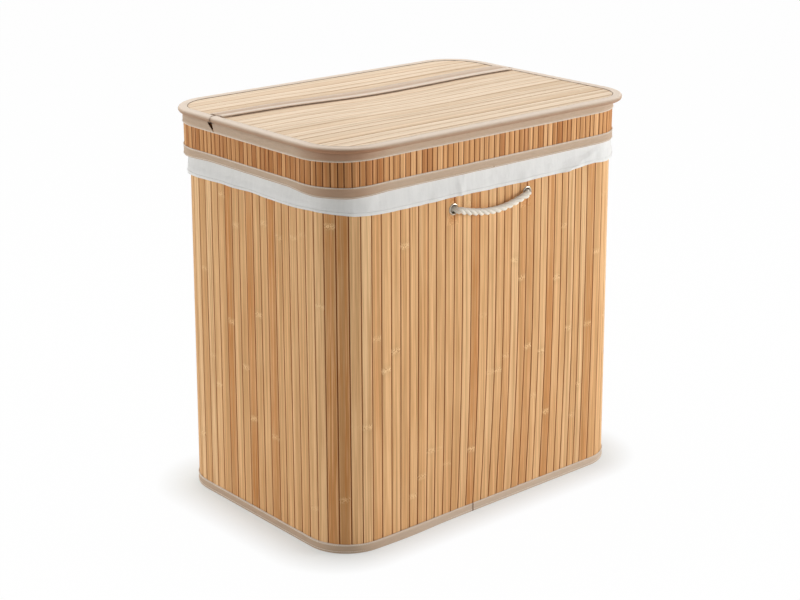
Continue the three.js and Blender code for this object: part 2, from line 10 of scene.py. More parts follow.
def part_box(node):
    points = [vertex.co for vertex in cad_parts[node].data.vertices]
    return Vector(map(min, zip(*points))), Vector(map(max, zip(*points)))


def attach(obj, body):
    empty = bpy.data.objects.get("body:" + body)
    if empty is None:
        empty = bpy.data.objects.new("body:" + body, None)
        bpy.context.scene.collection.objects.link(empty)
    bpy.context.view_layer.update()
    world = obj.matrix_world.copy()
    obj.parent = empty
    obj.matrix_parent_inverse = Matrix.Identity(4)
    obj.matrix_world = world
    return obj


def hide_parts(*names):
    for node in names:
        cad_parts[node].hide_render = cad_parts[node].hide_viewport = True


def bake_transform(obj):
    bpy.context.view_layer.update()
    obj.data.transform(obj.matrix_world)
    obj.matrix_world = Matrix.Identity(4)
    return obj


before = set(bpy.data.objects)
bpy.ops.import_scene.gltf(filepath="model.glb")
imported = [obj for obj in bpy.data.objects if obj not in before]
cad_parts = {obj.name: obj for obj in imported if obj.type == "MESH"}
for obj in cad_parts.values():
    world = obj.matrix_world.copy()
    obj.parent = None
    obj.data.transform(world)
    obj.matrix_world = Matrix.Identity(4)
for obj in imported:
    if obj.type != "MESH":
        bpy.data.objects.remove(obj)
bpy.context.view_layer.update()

bl_info = {
    "name": "Laundry Hamper",
    "version": (1, 0, 0),
    "blender": (4, 5, 0),
    "location": "View3D > Sidebar > Hamper",
    "description": "Builds the laths, tapes, ropes, liner and lid of a laundry hamper round its packed model",
    "category": "Object",
}

MM = 0.001
UP = (0.0, 0.0, 1.0)


def tone(red, green, blue):
    """A colour given as it is seen on a screen, 0 to 255, as Blender's linear values"""
    shares = (red / 255, green / 255, blue / 255)
    return tuple(((c + 0.055) / 1.055) ** 2.4 if c > 0.04045 else c / 12.92 for c in shares)


def low(node_name, axis):
    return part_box(node_name)[0]["xyz".index(axis)] / MM


def high(node_name, axis):
    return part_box(node_name)[1]["xyz".index(axis)] / MM


def all_round(stem):
    """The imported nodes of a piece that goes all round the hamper: its four runs and four corners"""
    runs = [f"{stem}_{side}" for side in ("front", "back", "left", "right")]
    return runs + [f"{stem}_corner_{a}_{b}" for a in ("front", "back") for b in ("left", "right")]


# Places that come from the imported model, in millimetres
WALL_HEIGHT = high("wall_front", "z")
WALL_FOOT = low("wall_front", "z")
WALL_HALF = (289.5, 195.2)
WALL_RADIUS = 68.0
FLARE = (4.5, 5.8)
EYELETS = {
    name: (
        (low(name, "x") + high(name, "x")) / 2,
        low(name, "y") if "front" in name else high(name, "y"),
        (low(name, "z") + high(name, "z")) / 2,
    )
    for name in ("eyelet_front_left", "eyelet_front_right", "eyelet_back_left", "eyelet_back_right")
}
SPLIT = (high("flap_rim_tape", "y") + low("hinge_tape", "y")) / 2
# The middle of the notch that the skirt leaves under the split at the left, and half its width
NOTCH = (SPLIT - 1.6, 9.5)

# Where the wall's laths meet on the front and the left side, walked to the left from the right front corner
LATH_JOINTS = (
    201.2, 188.2, 174.8, 159.8, 146.5, 131.2, 116.2, 101.5, 87.5, 72.0, 57.2, 41.0, 26.2, 10.2, -6.2, -23.6, -39.8,
    -57.0, -73.2, -90.4, -107.6, -123.6, -141.4, -157.6, -174.6, -191.8, -209.6, -226.8, -243.8, -261.0, -278.8,
    -296.2, -312.6, -330.0, -348.2, -365.9, -382.2, -398.4, -416.6, -433.6, -450.4, -467.6, -484.6, -501.6, -518.2,
    -536.4, -552.2, -567.8, -583.4,
)
LATH_WIDTH = 17.0

# The front handle's route between its eyelets, from left to right: places along x and their heights
ROPE_OUT = -203.7
ROPE_ROUTE = (
    (-68.0, 482.6), (-60.0, 480.4), (-52.0, 478.4), (-44.0, 476.6), (-35.0, 474.9), (-25.0, 473.3), (-14.0, 472.1),
    (-2.0, 471.6), (10.0, 472.0), (21.0, 473.1), (31.0, 474.8), (41.0, 477.1), (50.0, 479.5), (58.0, 481.8),
    (65.0, 483.6),
)

# Where two laths of the lid meet at its middle, from the front to the back
FLAP_JOINTS = (-183.9, -164.1, -146.2, -130.1, -110.3, -93.1, -74.1, -54.6, -36.2, -17.3, 3.0, 20.6, 40.1, 61.5)
REAR_JOINTS = (105.2, 124.2, 142.7, 161.9, 178.9)

# How far the cuff's lower edge is drawn up, by the distance walked from the front's middle, left being negative
HEM_RISE = (
    (-640, 0), (-562, 5.5), (-486, 6), (-450, 8), (-414, 7), (-378, 7.7), (-344, 7.5), (-313, 8.6), (-291, 6.9),
    (-272, 5), (-254, 3.1), (-234, 1.9), (-200, 0.3), (-125, 0), (-87, 1.2), (-48, 1.5), (-8, -1.4), (32, 0.3),
    (114, 0.3), (158, 0.9), (201, 1.4), (231, 2.4), (300, 0),
)

# How far the skirt's lower tape is drawn up at its two edges, by the distance walked to the right from the middle
TAPE_RISE = (
    (0, 0.7, -0.4), (230, 1.3, 0), (400, 0, 0), (1240, 0, 0), (1310, 4.4, 0.8), (1500, 4.4, 0.8), (1550, -1.0, -1.2),
    (1600, -2.4, -2.0), (1660, 0.4, -0.6), (1861, 0.7, -0.4),
)

# The parts of the skirt whose laths are given painted shade, darker at the left and at the near corner: from, to, and
# by how much
SHADED_SKIRT = ((1240, 1500, 0.6), (1500, 1650, 0.82))

# The heights between which the bins' walls draw in, and how far
NECK = (501.3, 545.3)
DRAWN_IN = 14.0

# The lid: how far the split and its laths drift forward towards the right, and the flap's small rear corners
DRIFT = 0.0256
FLAP_CORNER = 4.5


# Sizes and colours that a user would change

def length(name, description, default):
    return bpy.props.FloatProperty(name=name, description=description, default=default, unit="LENGTH", min=0)


def colour(name, description, default):
    return bpy.props.FloatVectorProperty(
        name=name, description=description, default=default, subtype="COLOR", size=3, min=0, max=1
    )


class HamperSizes(bpy.types.PropertyGroup):
    lath_thickness: length("Lath thickness", "Thickness of the wall's laths", 0.0022)
    lath_gap: length("Lath gap", "Gap between two laths of the wall", 0.0013)
    skirt_pitch: length("Skirt pitch", "Distance from lath to lath in the lid's skirt", 0.00995)
    lid_sag: length("Lid sag", "How far the lid's middle hangs by its hinge", 0.004)
    tape: length("Tape thickness", "Thickness of the binding tape", 0.0007)
    stitch: length("Stitch length", "Length of one stitch", 0.0032)
    cloth: length("Cloth thickness", "Thickness of the liner's cloth", 0.0008)
    rope: length("Rope diameter", "Diameter of the handles' rope", 0.011)
    rope_lay: length("Rope lay", "Length over which one strand goes once round the rope", 0.035)


class HamperColours(bpy.types.PropertyGroup):
    lath_light: colour("Light lath", "Palest laths of the wall", tone(246, 203, 154))
    lath_middle: colour("Middle lath", "Most of the wall's laths", tone(234, 183, 130))
    lath_dark: colour("Dark lath", "Darkest laths of the wall", tone(204, 134, 74))
    skirt_light: colour("Light skirt lath", "Palest laths of the skirt", tone(242, 190, 138))
    skirt_middle: colour("Middle skirt lath", "Most of the skirt's laths", tone(221, 162, 108))
    skirt_dark: colour("Dark skirt lath", "Darkest laths of the skirt", tone(176, 108, 59))
    lid_light: colour("Light lid lath", "Palest laths of the lid", tone(243, 222, 197))
    lid_dark: colour("Dark lid lath", "Darkest laths of the lid", tone(227, 198, 165))
    # The backings are real cloth, darkened with painted shade that shows in the gaps between laths and in the skirt's
    # notch
    wall_backing: colour("Wall backing", "Cloth behind the wall's laths", tone(152, 84, 38))
    skirt_backing: colour("Skirt backing", "Cloth behind the skirt's laths", tone(88, 55, 34))
    lid_backing: colour("Lid backing", "Cloth beneath the lid's laths", tone(112, 80, 54))
    tape: colour("Tape", "Woven binding tape", tone(208, 180, 155))
    # Painted highlight: the tape's colour where light falls on a bead or an edge
    tape_highlight: colour("Tape crest", "Tape where it is stretched over a bead or an edge", tone(241, 227, 212))
    thread: colour("Thread", "Sewing thread on the tape", tone(244, 232, 218))
    # Painted shade: the colour of the thin dark lines that stand in for the shadow inside the beads, under the hinge
    # tape's edge and in the foot tape's joint
    seam: colour("Seam", "Dark piping inside the bead", tone(116, 86, 68))
    cloth: colour("Liner cloth", "Cotton of the liner", tone(241, 239, 237))
    rope: colour("Rope", "Cotton rope", tone(252, 243, 230))
    board: colour("Board", "Fibreboard", tone(150, 116, 80))
    metal: colour("Eyelets", "Nickel-plated eyelets", tone(182, 172, 156))


def size(name):
    """One of the user's sizes, in millimetres"""
    return getattr(bpy.context.scene.hamper_sizes, name) / MM


# Materials

def full(rgb):
    return (*rgb, 1.0)


def scaled(rgb, *parts):
    """A colour made darker or lighter, by one part or by one for each channel"""
    return tuple(min(1.0, c * part) for c, part in zip(rgb, parts * 3 if len(parts) == 1 else parts))


class Nodes:
    """The nodes of a material or of the world, put together by short calls"""

    def __init__(self, owner, rgb=(1, 1, 1)):
        owner.use_nodes = True
        self.owner, self.tree, self.body = owner, owner.node_tree, full(rgb)

    def put(self, kind, inputs=None, **settings):
        """Adds a node, with values or links for its inputs by name or number, and gives its outputs"""
        made = self.tree.nodes.new(kind)
        for key, value in settings.items():
            setattr(made, key, value)
        for key, value in (inputs or {}).items():
            if isinstance(value, bpy.types.NodeSocket):
                self.tree.links.new(value, made.inputs[key])
            else:
                made.inputs[key].default_value = value
        return made.outputs

    def math(self, operation, first, second=0.0, third=0.0):
        return self.put("ShaderNodeMath", {0: first, 1: second, 2: third}, operation=operation)[0]

    def spread(self, value, from_low, from_high, to_low, to_high):
        inputs = {"Value": value, "From Min": from_low, "From Max": from_high, "To Min": to_low, "To Max": to_high}
        return self.put("ShaderNodeMapRange", inputs)["Result"]

    def place(self):
        return self.put("ShaderNodeTexCoord")["Object"]

    def weave(self):
        return self.put("ShaderNodeUVMap", uv_map="weave")[0]

    def attribute(self, name):
        return self.put("ShaderNodeAttribute", attribute_name=name)["Fac"]

    def mapped(self, place, scales):
        return self.put("ShaderNodeMapping", {"Vector": place, "Scale": scales})[0]

    def noise(self, place, scale, detail):
        return self.put("ShaderNodeTexNoise", {"Vector": place, "Scale": scale, "Detail": detail})["Fac"]

    def bump(self, rise, strength, distance, **others):
        return self.put("ShaderNodeBump", {"Height": rise, "Strength": strength, "Distance": distance, **others})[0]

    def paint(self, share, rgb):
        """Mixes a colour into the body"""
        self.body = self.put("ShaderNodeMix", {0: share, 6: self.body, 7: full(rgb)}, data_type="RGBA")[2]

    def seen(self):
        """1 where the camera sees a thing, also mirrored or through glass, and 0 where it lights another"""
        rays = self.put("ShaderNodeLightPath")
        straight = self.math("MAXIMUM", rays["Is Camera Ray"], rays["Is Glossy Ray"])
        return self.math("MAXIMUM", straight, rays["Is Transmission Ray"])

    def surface(self, roughness, normal, **values):
        """Joins the body, roughness and bump to the shader, and sets its other sockets"""
        shader = self.tree.nodes["Principled BSDF"].inputs
        for name, link in (("Base Color", self.body), ("Roughness", roughness), ("Normal", normal)):
            self.tree.links.new(link, shader[name])
        names = {"gloss": "Specular IOR Level", "sheen": "Sheen Weight", "fuzz": "Sheen Roughness", "metal": "Metallic"}
        for name, value in values.items():
            shader[names[name]].default_value = value
        return self.owner


def fresh(name, rgb=(1, 1, 1)):
    return Nodes(bpy.data.materials.new(name), rgb)


def bamboo(name, shades, along, roughness, marks, shade_and_wear_from):
    """Split bamboo: a tone for each lath, grain along it, a painted highlight inside its edges, edges darkened by wear
    and painted shade, and pale specks and dark crumbs at its node
    """
    light, middle, dark = shades
    n = fresh(name)
    place = n.place()
    lath, mark, across = (n.attribute(title) for title in ("lath", "mark", "across"))
    seed = n.math("MULTIPLY", lath, 91.0)
    own = n.math("FRACT", n.math("MULTIPLY", lath, 37.0))

    def noise(scale, stretch, detail, soft):
        scales = [scale] * 3
        scales["xyz".index(along)] = stretch
        inputs = {"Vector": n.mapped(place, scales), "W": seed, "Scale": 1.0, "Detail": detail, "Roughness": soft}
        return n.put("ShaderNodeTexNoise", inputs, noise_dimensions="4D")["Fac"]

    grain, streak = noise(620.0, 9.0, 4.0, 0.6), noise(260.0, 2.2, 3.0, 0.5)
    mottle, speck = noise(14.0, 7.0, 4.0, 0.5), noise(900.0, 420.0, 3.0, 0.6)
    rim = n.math("ABSOLUTE", n.math("SUBTRACT", across, 0.5))
    ramp = n.tree.nodes.new("ShaderNodeValToRGB")
    n.tree.links.new(lath, ramp.inputs["Fac"])
    stops = ((0.0, dark), (0.08, dark), (0.36, middle), (0.6, middle), (0.88, light), (1.0, light))
    elements = ramp.color_ramp.elements
    while len(elements) < len(stops):
        elements.new(0.5)
    for element, (position, rgb) in zip(elements, stops):
        element.position = position
        element.color = full(rgb)
    n.body = ramp.outputs["Color"]
    worn_and_shade = scaled(dark, 0.66, 0.42, 0.24)
    for signal, reach, rgb in (
        (streak, (0.47, 0.6, 0.0, 0.75), scaled(middle, 0.72, 0.66, 0.58)),
        (streak, (0.36, 0.45, 0.5, 0.0), scaled(light, 1.08)),
        (grain, (0.46, 0.74, 0.0, 0.5), scaled(dark, 0.72)),
        (grain, (0.28, 0.46, 0.4, 0.0), scaled(light, 1.1)),
        (mottle, (0.35, 0.7, 0.0, 0.28), light),
        # Painted highlight: a thin pale line just inside each lath's edge
        (rim, (0.37, 0.43, 0.0, 0.3), scaled(light, 1.12)),
        # Edges darkened by wear and by painted shade where two laths meet
        (rim, (shade_and_wear_from, 0.5, 0.0, 0.6), worn_and_shade),
    ):
        n.paint(n.spread(signal, *reach), rgb)
    height = n.put("ShaderNodeSeparateXYZ", {0: place})["xyz".index(along)]
    wander = n.math("MULTIPLY_ADD", streak, 0.008, -0.004)
    off = n.math("ABSOLUTE", n.math("ADD", n.math("SUBTRACT", height, mark), wander))
    n.paint(n.math("MULTIPLY", n.spread(off, 0.002, 0.014, 0.3 * marks, 0.0), own), scaled(middle, 0.7))
    near = n.math("MULTIPLY", n.spread(off, 0.0008, 0.006, marks, 0.0), n.math("POWER", own, 0.4))
    flecks = n.math("MULTIPLY", near, n.spread(speck, 0.46, 0.54, 0.0, 0.95))
    n.paint(flecks, scaled(light, 1.18))
    n.paint(n.math("MULTIPLY", near, n.spread(speck, 0.36, 0.44, 0.7, 0.0)), worn_and_shade)
    rise = n.math("MULTIPLY_ADD", grain, 0.35, n.math("MULTIPLY", flecks, 0.3))
    rough = n.spread(grain, 0.3, 0.75, roughness - 0.08, roughness + 0.12)
    return n.surface(rough, n.bump(rise, 0.5, 0.0005), gloss=0.03)


def woven(
    name, rgb, thread, contrast, roughness, crumple, gloss=0.2, sheen=0.0, highlight_rgb=None, slubs=(70.0, 420.0, 1.0)
):
    """Plain weave in the piece's own UV map, in metres, with slubs, soft soiling, creases, and painted highlight and
    shade
    """
    n = fresh(name, rgb)
    weave_place, place = n.weave(), n.place()
    parts = n.put("ShaderNodeSeparateXYZ", {0: weave_place})
    turn = 2 * math.pi / thread
    warp, weft = (n.math("SINE", n.math("MULTIPLY", parts[axis], turn)) for axis in "XY")
    weave = n.math("MULTIPLY_ADD", n.math("MULTIPLY", warp, weft), 0.5, 0.5)
    slub = n.noise(n.mapped(weave_place, slubs), 1.0, 3.0)
    soil, crease = n.noise(place, 14.0, 4.0), n.noise(place, 42.0, 3.0)
    n.paint(n.spread(weave, 0.0, 1.0, contrast, 0.0), scaled(rgb, 0.55))
    n.paint(n.spread(slub, 0.4, 0.7, 0.0, contrast), scaled(rgb, 0.7))
    n.paint(n.spread(soil, 0.35, 0.7, 0.0, contrast * 0.6), scaled(rgb, 0.84))
    # Painted highlight where the piece's mark is above 0, painted shade where it is below 0
    if highlight_rgb:
        share = n.attribute("crest")
        n.paint(n.math("MULTIPLY", share, 0.75), highlight_rgb)
        n.paint(n.math("MULTIPLY", share, -0.9), scaled(rgb, 0.62, 0.45, 0.36))
    rough = n.spread(slub, 0.3, 0.7, roughness - 0.05, min(1.0, roughness + 0.05))
    creased = n.bump(crease, crumple, 0.004)
    fine = n.bump(n.math("MULTIPLY_ADD", slub, 0.6, weave), 0.35, 0.0004, Normal=creased)
    return n.surface(rough, fine, gloss=gloss, sheen=sheen, fuzz=0.5)


def twisted_cotton(name, rgb):
    """Yarns that run along each strand of the rope, with the shade that gathers between them"""
    n = fresh(name, rgb)
    parts = n.put("ShaderNodeSeparateXYZ", {0: n.weave()})
    slope = n.math("MULTIPLY_ADD", parts["X"], 420.0, n.math("MULTIPLY", parts["Y"], 44.0))
    yarn = n.math("MULTIPLY_ADD", n.math("SINE", slope), 0.5, 0.5)
    fuzz = n.noise(n.place(), 900.0, 3.0)
    n.paint(n.spread(yarn, 0.0, 0.6, 0.2, 0.0), scaled(rgb, 0.66))
    n.paint(n.spread(fuzz, 0.4, 0.7, 0.0, 0.14), scaled(rgb, 0.78))
    bump = n.bump(n.math("MULTIPLY_ADD", fuzz, 0.5, yarn), 0.4, 0.0004)
    return n.surface(n.spread(fuzz, 0.3, 0.7, 0.86, 0.98), bump, gloss=0.2, sheen=0.2, fuzz=0.6)


def pressed_board(name, rgb):
    """Fibreboard: pressed fibres and darker flecks"""
    n = fresh(name, rgb)
    place = n.place()
    fleck = n.put("ShaderNodeTexVoronoi", {"Vector": place, "Scale": 420.0})["Distance"]
    fibre, patch = n.noise(place, 160.0, 5.0), n.noise(place, 11.0, 3.0)
    n.paint(n.spread(fibre, 0.35, 0.7, 0.0, 0.6), scaled(rgb, 0.6))
    n.paint(n.spread(fleck, 0.0, 0.35, 0.35, 0.0), scaled(rgb, 0.5))
    n.paint(n.spread(patch, 0.35, 0.7, 0.0, 0.35), scaled(rgb, 1.25))
    return n.surface(n.spread(fibre, 0.3, 0.7, 0.62, 0.82), n.bump(fibre, 0.3, 0.0004))


def plated(name, rgb, roughness):
    """Plated metal with fine rubbing marks and a dull bloom"""
    n = fresh(name, rgb)
    place = n.place()
    rub, bloom = n.noise(place, 700.0, 4.0), n.noise(place, 120.0, 2.0)
    n.paint(n.spread(bloom, 0.4, 0.7, 0.0, 0.4), scaled(rgb, 0.72))
    rough = n.spread(rub, 0.35, 0.7, roughness - 0.08, roughness + 0.14)
    return n.surface(rough, n.bump(rub, 0.08, 0.0002), metal=1.0)


FINISHES = {}


def finish(name):
    """The hamper's finishes, each made once"""
    if name not in FINISHES:
        c = bpy.context.scene.hamper_colours
        makers = {
            "wall laths": (bamboo, "wall_laths", (c.lath_light, c.lath_middle, c.lath_dark), "z", 0.5, 1.0, 0.455),
            "skirt laths": (
                bamboo, "skirt_laths", (c.skirt_light, c.skirt_middle, c.skirt_dark), "z", 0.55, 0.0, 0.42
            ),
            "lid laths": (bamboo, "lid_laths", (c.lid_light, c.lid_light, c.lid_dark), "x", 0.5, 0.5, 0.43),
            "tape": (woven, "binding_tape", c.tape, 0.0011, 0.42, 0.6, 0.12, 0.2, 0.0, c.tape_highlight),
            "thread": (woven, "sewing_thread", c.thread, 0.0006, 0.1, 0.8, 0.0),
            "seam": (woven, "seam_piping", c.seam, 0.0006, 0.15, 0.9, 0.0, 0.1),
            "liner": (woven, "liner_cotton", c.cloth, 0.0009, 0.12, 0.92, 0.5, 0.2, 0.1, None, (240.0, 22.0, 1.0)),
            "rope": (twisted_cotton, "rope_cotton", c.rope),
            "board": (pressed_board, "fibreboard", c.board),
            "eyelets": (plated, "eyelet_nickel", c.metal, 0.2),
            "wire": (plated, "hoop_steel", scaled(c.metal, 0.7), 0.4),
        }
        for part in ("wall", "skirt", "lid"):
            rgb = getattr(c, f"{part}_backing")
            makers[f"{part} backing"] = (woven, f"{part}_backing", rgb, 0.0014, 0.15, 0.95, 0.1, 0.0)
        maker, *facts = makers[name]
        FINISHES[name] = maker(*facts)
    return FINISHES[name]


def dress(piece, finish_name, body, replaces=()):
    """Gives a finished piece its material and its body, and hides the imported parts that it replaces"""
    piece.data.materials.clear()
    piece.data.materials.append(finish(finish_name))
    if body:
        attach(piece, body)
    if replaces:
        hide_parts(*replaces)


def dress_node(node_name, finish_name):
    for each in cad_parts[node_name].material_slots:
        each.material = finish(finish_name)


def finish_tape(piece, body, node_name):
    """Dresses a binding tape, which is folded along its profile over the piece that it rests on"""
    dress(piece, "tape", body, [node_name])


def finish_liner(piece, replaces):
    """Dresses a piece of the liner's cloth"""
    dress(piece, "liner", "liner", replaces)


# Outlines in plan

class Outline:
    """A plan with rounded corners, walked to the right from the middle of its front edge, in millimetres"""

    def __init__(self, left, right, front, back, radii):
        front_right, back_right, back_left, front_left = radii
        self.sides = (left, right, front, back)
        self.radii = tuple(radii)
        self.runs = [
            self.line((0.0, front), (right - front_right, front), (0, -1)),
            self.bend(right - front_right, front + front_right, front_right, -90),
            self.line((right, front + front_right), (right, back - back_right), (1, 0)),
            self.bend(right - back_right, back - back_right, back_right, 0),
            self.line((right - back_right, back), (left + back_left, back), (0, 1)),
            self.bend(left + back_left, back - back_left, back_left, 90),
            self.line((left, back - back_left), (left, front + front_left), (-1, 0)),
            self.bend(left + front_left, front + front_left, front_left, 180),
            self.line((left + front_left, front), (0.0, front), (0, -1)),
        ]
        self.ends = np.cumsum([run[0] for run in self.runs])
        self.length = float(self.ends[-1])

    @staticmethod
    def line(start, end, normal):
        start, end = np.array(start, float), np.array(end, float)
        reach = float(np.linalg.norm(end - start))
        along = (end - start) / max(reach, 1e-9)
        return reach, lambda d: (start + d[:, None] * along, np.tile(np.array(normal, float), (len(d), 1)))

    @staticmethod
    def bend(x, y, radius, first):
        def at(d):
            angle = math.radians(first) + d / radius
            normal = np.stack([np.cos(angle), np.sin(angle)], 1)
            return np.array([x, y]) + radius * normal, normal
        return radius * math.pi / 2, at

    def past(self, walked, point=0.0, before=0.0):
        """How far past a point of the outline each place is, from the given distance before it on"""
        return np.mod(np.asarray(walked, float) - point + before, self.length) - before

    def at(self, walked):
        """Places on the outline, with the direction that points out of it"""
        walked = self.past(walked)
        which = np.minimum(np.searchsorted(self.ends, walked, side="right"), len(self.runs) - 1)
        starts = np.r_[0.0, self.ends[:-1]]
        places, normals = np.zeros((len(walked), 2)), np.zeros((len(walked), 2))
        for k, (_, run) in enumerate(self.runs):
            here = which == k
            if here.any():
                places[here], normals[here] = run(walked[here] - starts[k])
        return places, normals

    def rule(self, values):
        """Gives evenly spaced values back by the distance walked round the outline"""
        knots = np.linspace(0, self.length, len(values))
        return lambda along: np.interp(self.past(along), knots, values)

    def grown(self, by):
        left, right, front, back = self.sides
        return Outline(left - by, right + by, front - by, back + by, [r + by for r in self.radii])

    def walked_to(self, side, y):
        """How far along the outline its right or left edge reaches y"""
        front, back = self.sides[2:]
        if side == "right":
            return self.ends[1] + y - (front + self.radii[0])
        return self.ends[5] + (back - self.radii[2]) - y

    def half_width(self, y):
        """How far the outline reaches to the right at each y"""
        _, right, front, back = self.sides
        y = np.asarray(y, float)
        reach = np.full(y.shape, float(right))
        for radius, centre, beyond in (
            (self.radii[0], front + self.radii[0], y < front + self.radii[0]),
            (self.radii[1], back - self.radii[1], y > back - self.radii[1]),
        ):
            inside = np.clip(radius ** 2 - (y - centre) ** 2, 0.0, None)
            reach = np.where(beyond, right - radius + np.sqrt(inside), reach)
        return reach


def plain_outline(half_x, half_y, radius):
    return Outline(-half_x, half_x, -half_y, half_y, [radius] * 4)


WALL = plain_outline(*WALL_HALF, WALL_RADIUS)
SKIRT = Outline(-297.6, 293.6, -199.6, 203.2, [73.7] * 4)
RIM = plain_outline(294.87, 208.2, 67.8)


def flared(points):
    """The wall's plan grows towards the floor: its corners keep their radius and its sides stretch"""
    share = 1 - points[:, 2] / WALL_HEIGHT
    for axis in (0, 1):
        straight = WALL_HALF[axis] - WALL_RADIUS
        points[:, axis] += FLARE[axis] * share * np.clip(points[:, axis] / straight, -1, 1)
    return points


# Mesh tools

def start_clean():
    if bpy.context.object and bpy.context.object.mode != "OBJECT":
        bpy.ops.object.mode_set(mode="OBJECT")
    bpy.ops.object.select_all(action="DESELECT")


def take(piece):
    start_clean()
    piece.select_set(True)
    bpy.context.view_layer.objects.active = piece


def named(name):
    piece = bpy.context.object
    piece.name = name
    piece.data.name = name
    return piece


def from_lists(name, points, edges, faces):
    """A new piece from lists of points, in millimetres, edges and faces"""
    mesh = bpy.data.meshes.new(name)
    mesh.from_pydata([tuple(v * MM for v in point) for point in points], edges, faces)
    piece = bpy.data.objects.new(name, mesh)
    bpy.context.scene.collection.objects.link(piece)
    return piece


def apply_modifier(piece, kind, **settings):
    take(piece)
    modifier = piece.modifiers.new(kind.lower(), kind)
    for key, value in settings.items():
        setattr(modifier, key, value)
    bpy.ops.object.modifier_apply(modifier=modifier.name)


def points_of(piece):
    data = np.zeros(len(piece.data.vertices) * 3)
    piece.data.vertices.foreach_get("co", data)
    return data.reshape(-1, 3)


def move_points(piece, places):
    piece.data.vertices.foreach_set("co", np.asarray(places, float).ravel())
    piece.data.update()


def set_values(piece, name, values):
    attribute = piece.data.attributes.get(name) or piece.data.attributes.new(name, "FLOAT", "POINT")
    attribute.data.foreach_set("value", np.asarray(values, np.float32))


def crest(piece, rule):
    """Marks where a tape gets a painted highlight, above 0, or painted shade, below 0, and paints shade over the near
    corner
    """
    x, y, z = (points_of(piece) / MM).T
    value = np.clip(rule(x, y, z), -0.6, 1)
    # Painted shade over the near corner, stronger towards its top and weaker on the highlights
    corner = np.clip((-x - 190) / 60, 0, 1) * np.clip((-y - 110) / 60, 0, 1) * (z > 300)
    set_values(piece, "crest", value - corner * np.where(value > 0.3, 0.35, np.interp(z, [520, 570], [0.4, 0.8])))


def set_weave(piece, across, along):
    """Writes the weave's map from two values for each point, in metres"""
    for layer in list(piece.data.uv_layers):
        piece.data.uv_layers.remove(layer)
    layer = piece.data.uv_layers.new(name="weave")
    corner = np.zeros(len(piece.data.loops), np.int32)
    piece.data.loops.foreach_get("vertex_index", corner)
    layer.data.foreach_set("uv", np.stack([across[corner], along[corner]], 1).astype(np.float32).ravel())


def widen_weave(piece, width):
    """Widens the weave's map of a sheet whose first measure is a share of its width, in millimetres"""
    layer = piece.data.uv_layers["weave"]
    data = np.zeros(len(layer.data) * 2, np.float32)
    layer.data.foreach_get("uv", data)
    data[0::2] *= width
    layer.data.foreach_set("uv", data)


def edit_whole(piece, operator, **settings):
    """Runs an edit mode operator on all of a piece"""
    take(piece)
    bpy.ops.object.mode_set(mode="EDIT")
    bpy.ops.mesh.select_all(action="SELECT")
    operator(**settings)
    bpy.ops.object.mode_set(mode="OBJECT")


def smooth(piece, angle=40):
    take(piece)
    bpy.ops.object.shade_smooth_by_angle(angle=math.radians(angle))
    return piece


def hill(x, middle, width):
    """A round rise of height 1"""
    return np.exp(-((x - middle) / width) ** 2)


def cloth_noise(seed, count, low_turns, high_turns, height):
    """Soft random folds, the same on every run: a sum of sine waves with their turns per metre"""
    rng = np.random.default_rng(seed)
    waves = []
    for _ in range(count):
        turns, heading = rng.uniform(low_turns, high_turns), rng.uniform(0, 2 * math.pi)
        tilt = rng.uniform(-0.5, 0.5)
        ways = turns * np.array([math.cos(heading), math.sin(heading), tilt])
        waves.append((ways, rng.uniform(0, 6.3)))

    def at(points):
        return height / count ** 0.5 * sum(np.sin(2 * math.pi * (points @ ways) * MM + phase) for ways, phase in waves)
    return at


def turn_outwards(piece, centre):
    """Flips an open sheet if its faces look towards a point"""
    faces = piece.data.polygons
    if sum(face.normal.dot(face.center - Vector(centre)) * face.area for face in faces) < 0:
        edit_whole(piece, bpy.ops.mesh.flip_normals)


def sheet(name, start, end, columns, rows, place, width, thickness, closed=False, centre=(0, 0, 0.3), angle=40):
    """A flat grid of cloth, carried to the place that place(how far along, share across) gives in millimetres"""
    start_clean()
    bpy.ops.mesh.primitive_grid_add(x_subdivisions=columns, y_subdivisions=rows, size=1)
    piece = named(name)
    flat = points_of(piece)
    along = start + (flat[:, 0] + 0.5) * (end - start)
    share = flat[:, 1] + 0.5
    set_weave(piece, along * MM, share * width * MM)
    move_points(piece, place(along, share) * MM)
    if closed:
        edit_whole(piece, bpy.ops.mesh.remove_doubles, threshold=0.00002)
    turn_outwards(piece, centre)
    if thickness:
        apply_modifier(piece, "SOLIDIFY", thickness=thickness, offset=-1.0, use_even_offset=False)
    return smooth(piece, angle)


def profile_at(profile, share):
    """Follows a profile of (out, height) points by share of its number of steps"""
    step = share * (len(profile) - 1)
    return [np.interp(step, np.arange(len(profile)), values) for values in np.array(profile, float).T]


def walked_along(line):
    """How far along a line each of its points is"""
    return np.r_[0.0, np.cumsum(np.linalg.norm(np.diff(np.array(line, float), axis=0), axis=1))]


def line_at(line, walked, spots):
    """Places on a line, or of other values along it, at the given distances"""
    return np.stack([np.interp(spots, walked, line[:, axis]) for axis in range(3)], 1)


def finer(profile, most):
    """A profile with extra points, so that no step is longer than the given one"""
    made = [tuple(profile[0])]
    for a, b in zip(profile[:-1], profile[1:]):
        count = max(1, math.ceil(math.dist(a, b) / most))
        made += [(a[0] + (b[0] - a[0]) * k / count, a[1] + (b[1] - a[1]) * k / count) for k in range(1, count + 1)]
    return made


def band(name, outline, profile, thickness, step=9.0, start=None, end=None, flare=False, ripple=None, **settings):
    """Tape or cloth bent round an outline, whose profile gives how far out and how high it lies"""
    closed = start is None
    first, last = (0.0, outline.length) if closed else (start, end)

    def place(along, share):
        spots, normals = outline.at(along)
        out, height = profile_at(profile, share)
        if ripple is not None:
            more_out, more_up = ripple(along, share)
            out, height = out + more_out, height + more_up
        points = np.column_stack([spots + normals * out[:, None], height])
        return flared(points) if flare else points

    columns = max(8, round((last - first) / step))
    width = walked_along(profile)[-1]
    return sheet(name, first, last, columns, len(profile) - 1, place, width, thickness, closed=closed, **settings)


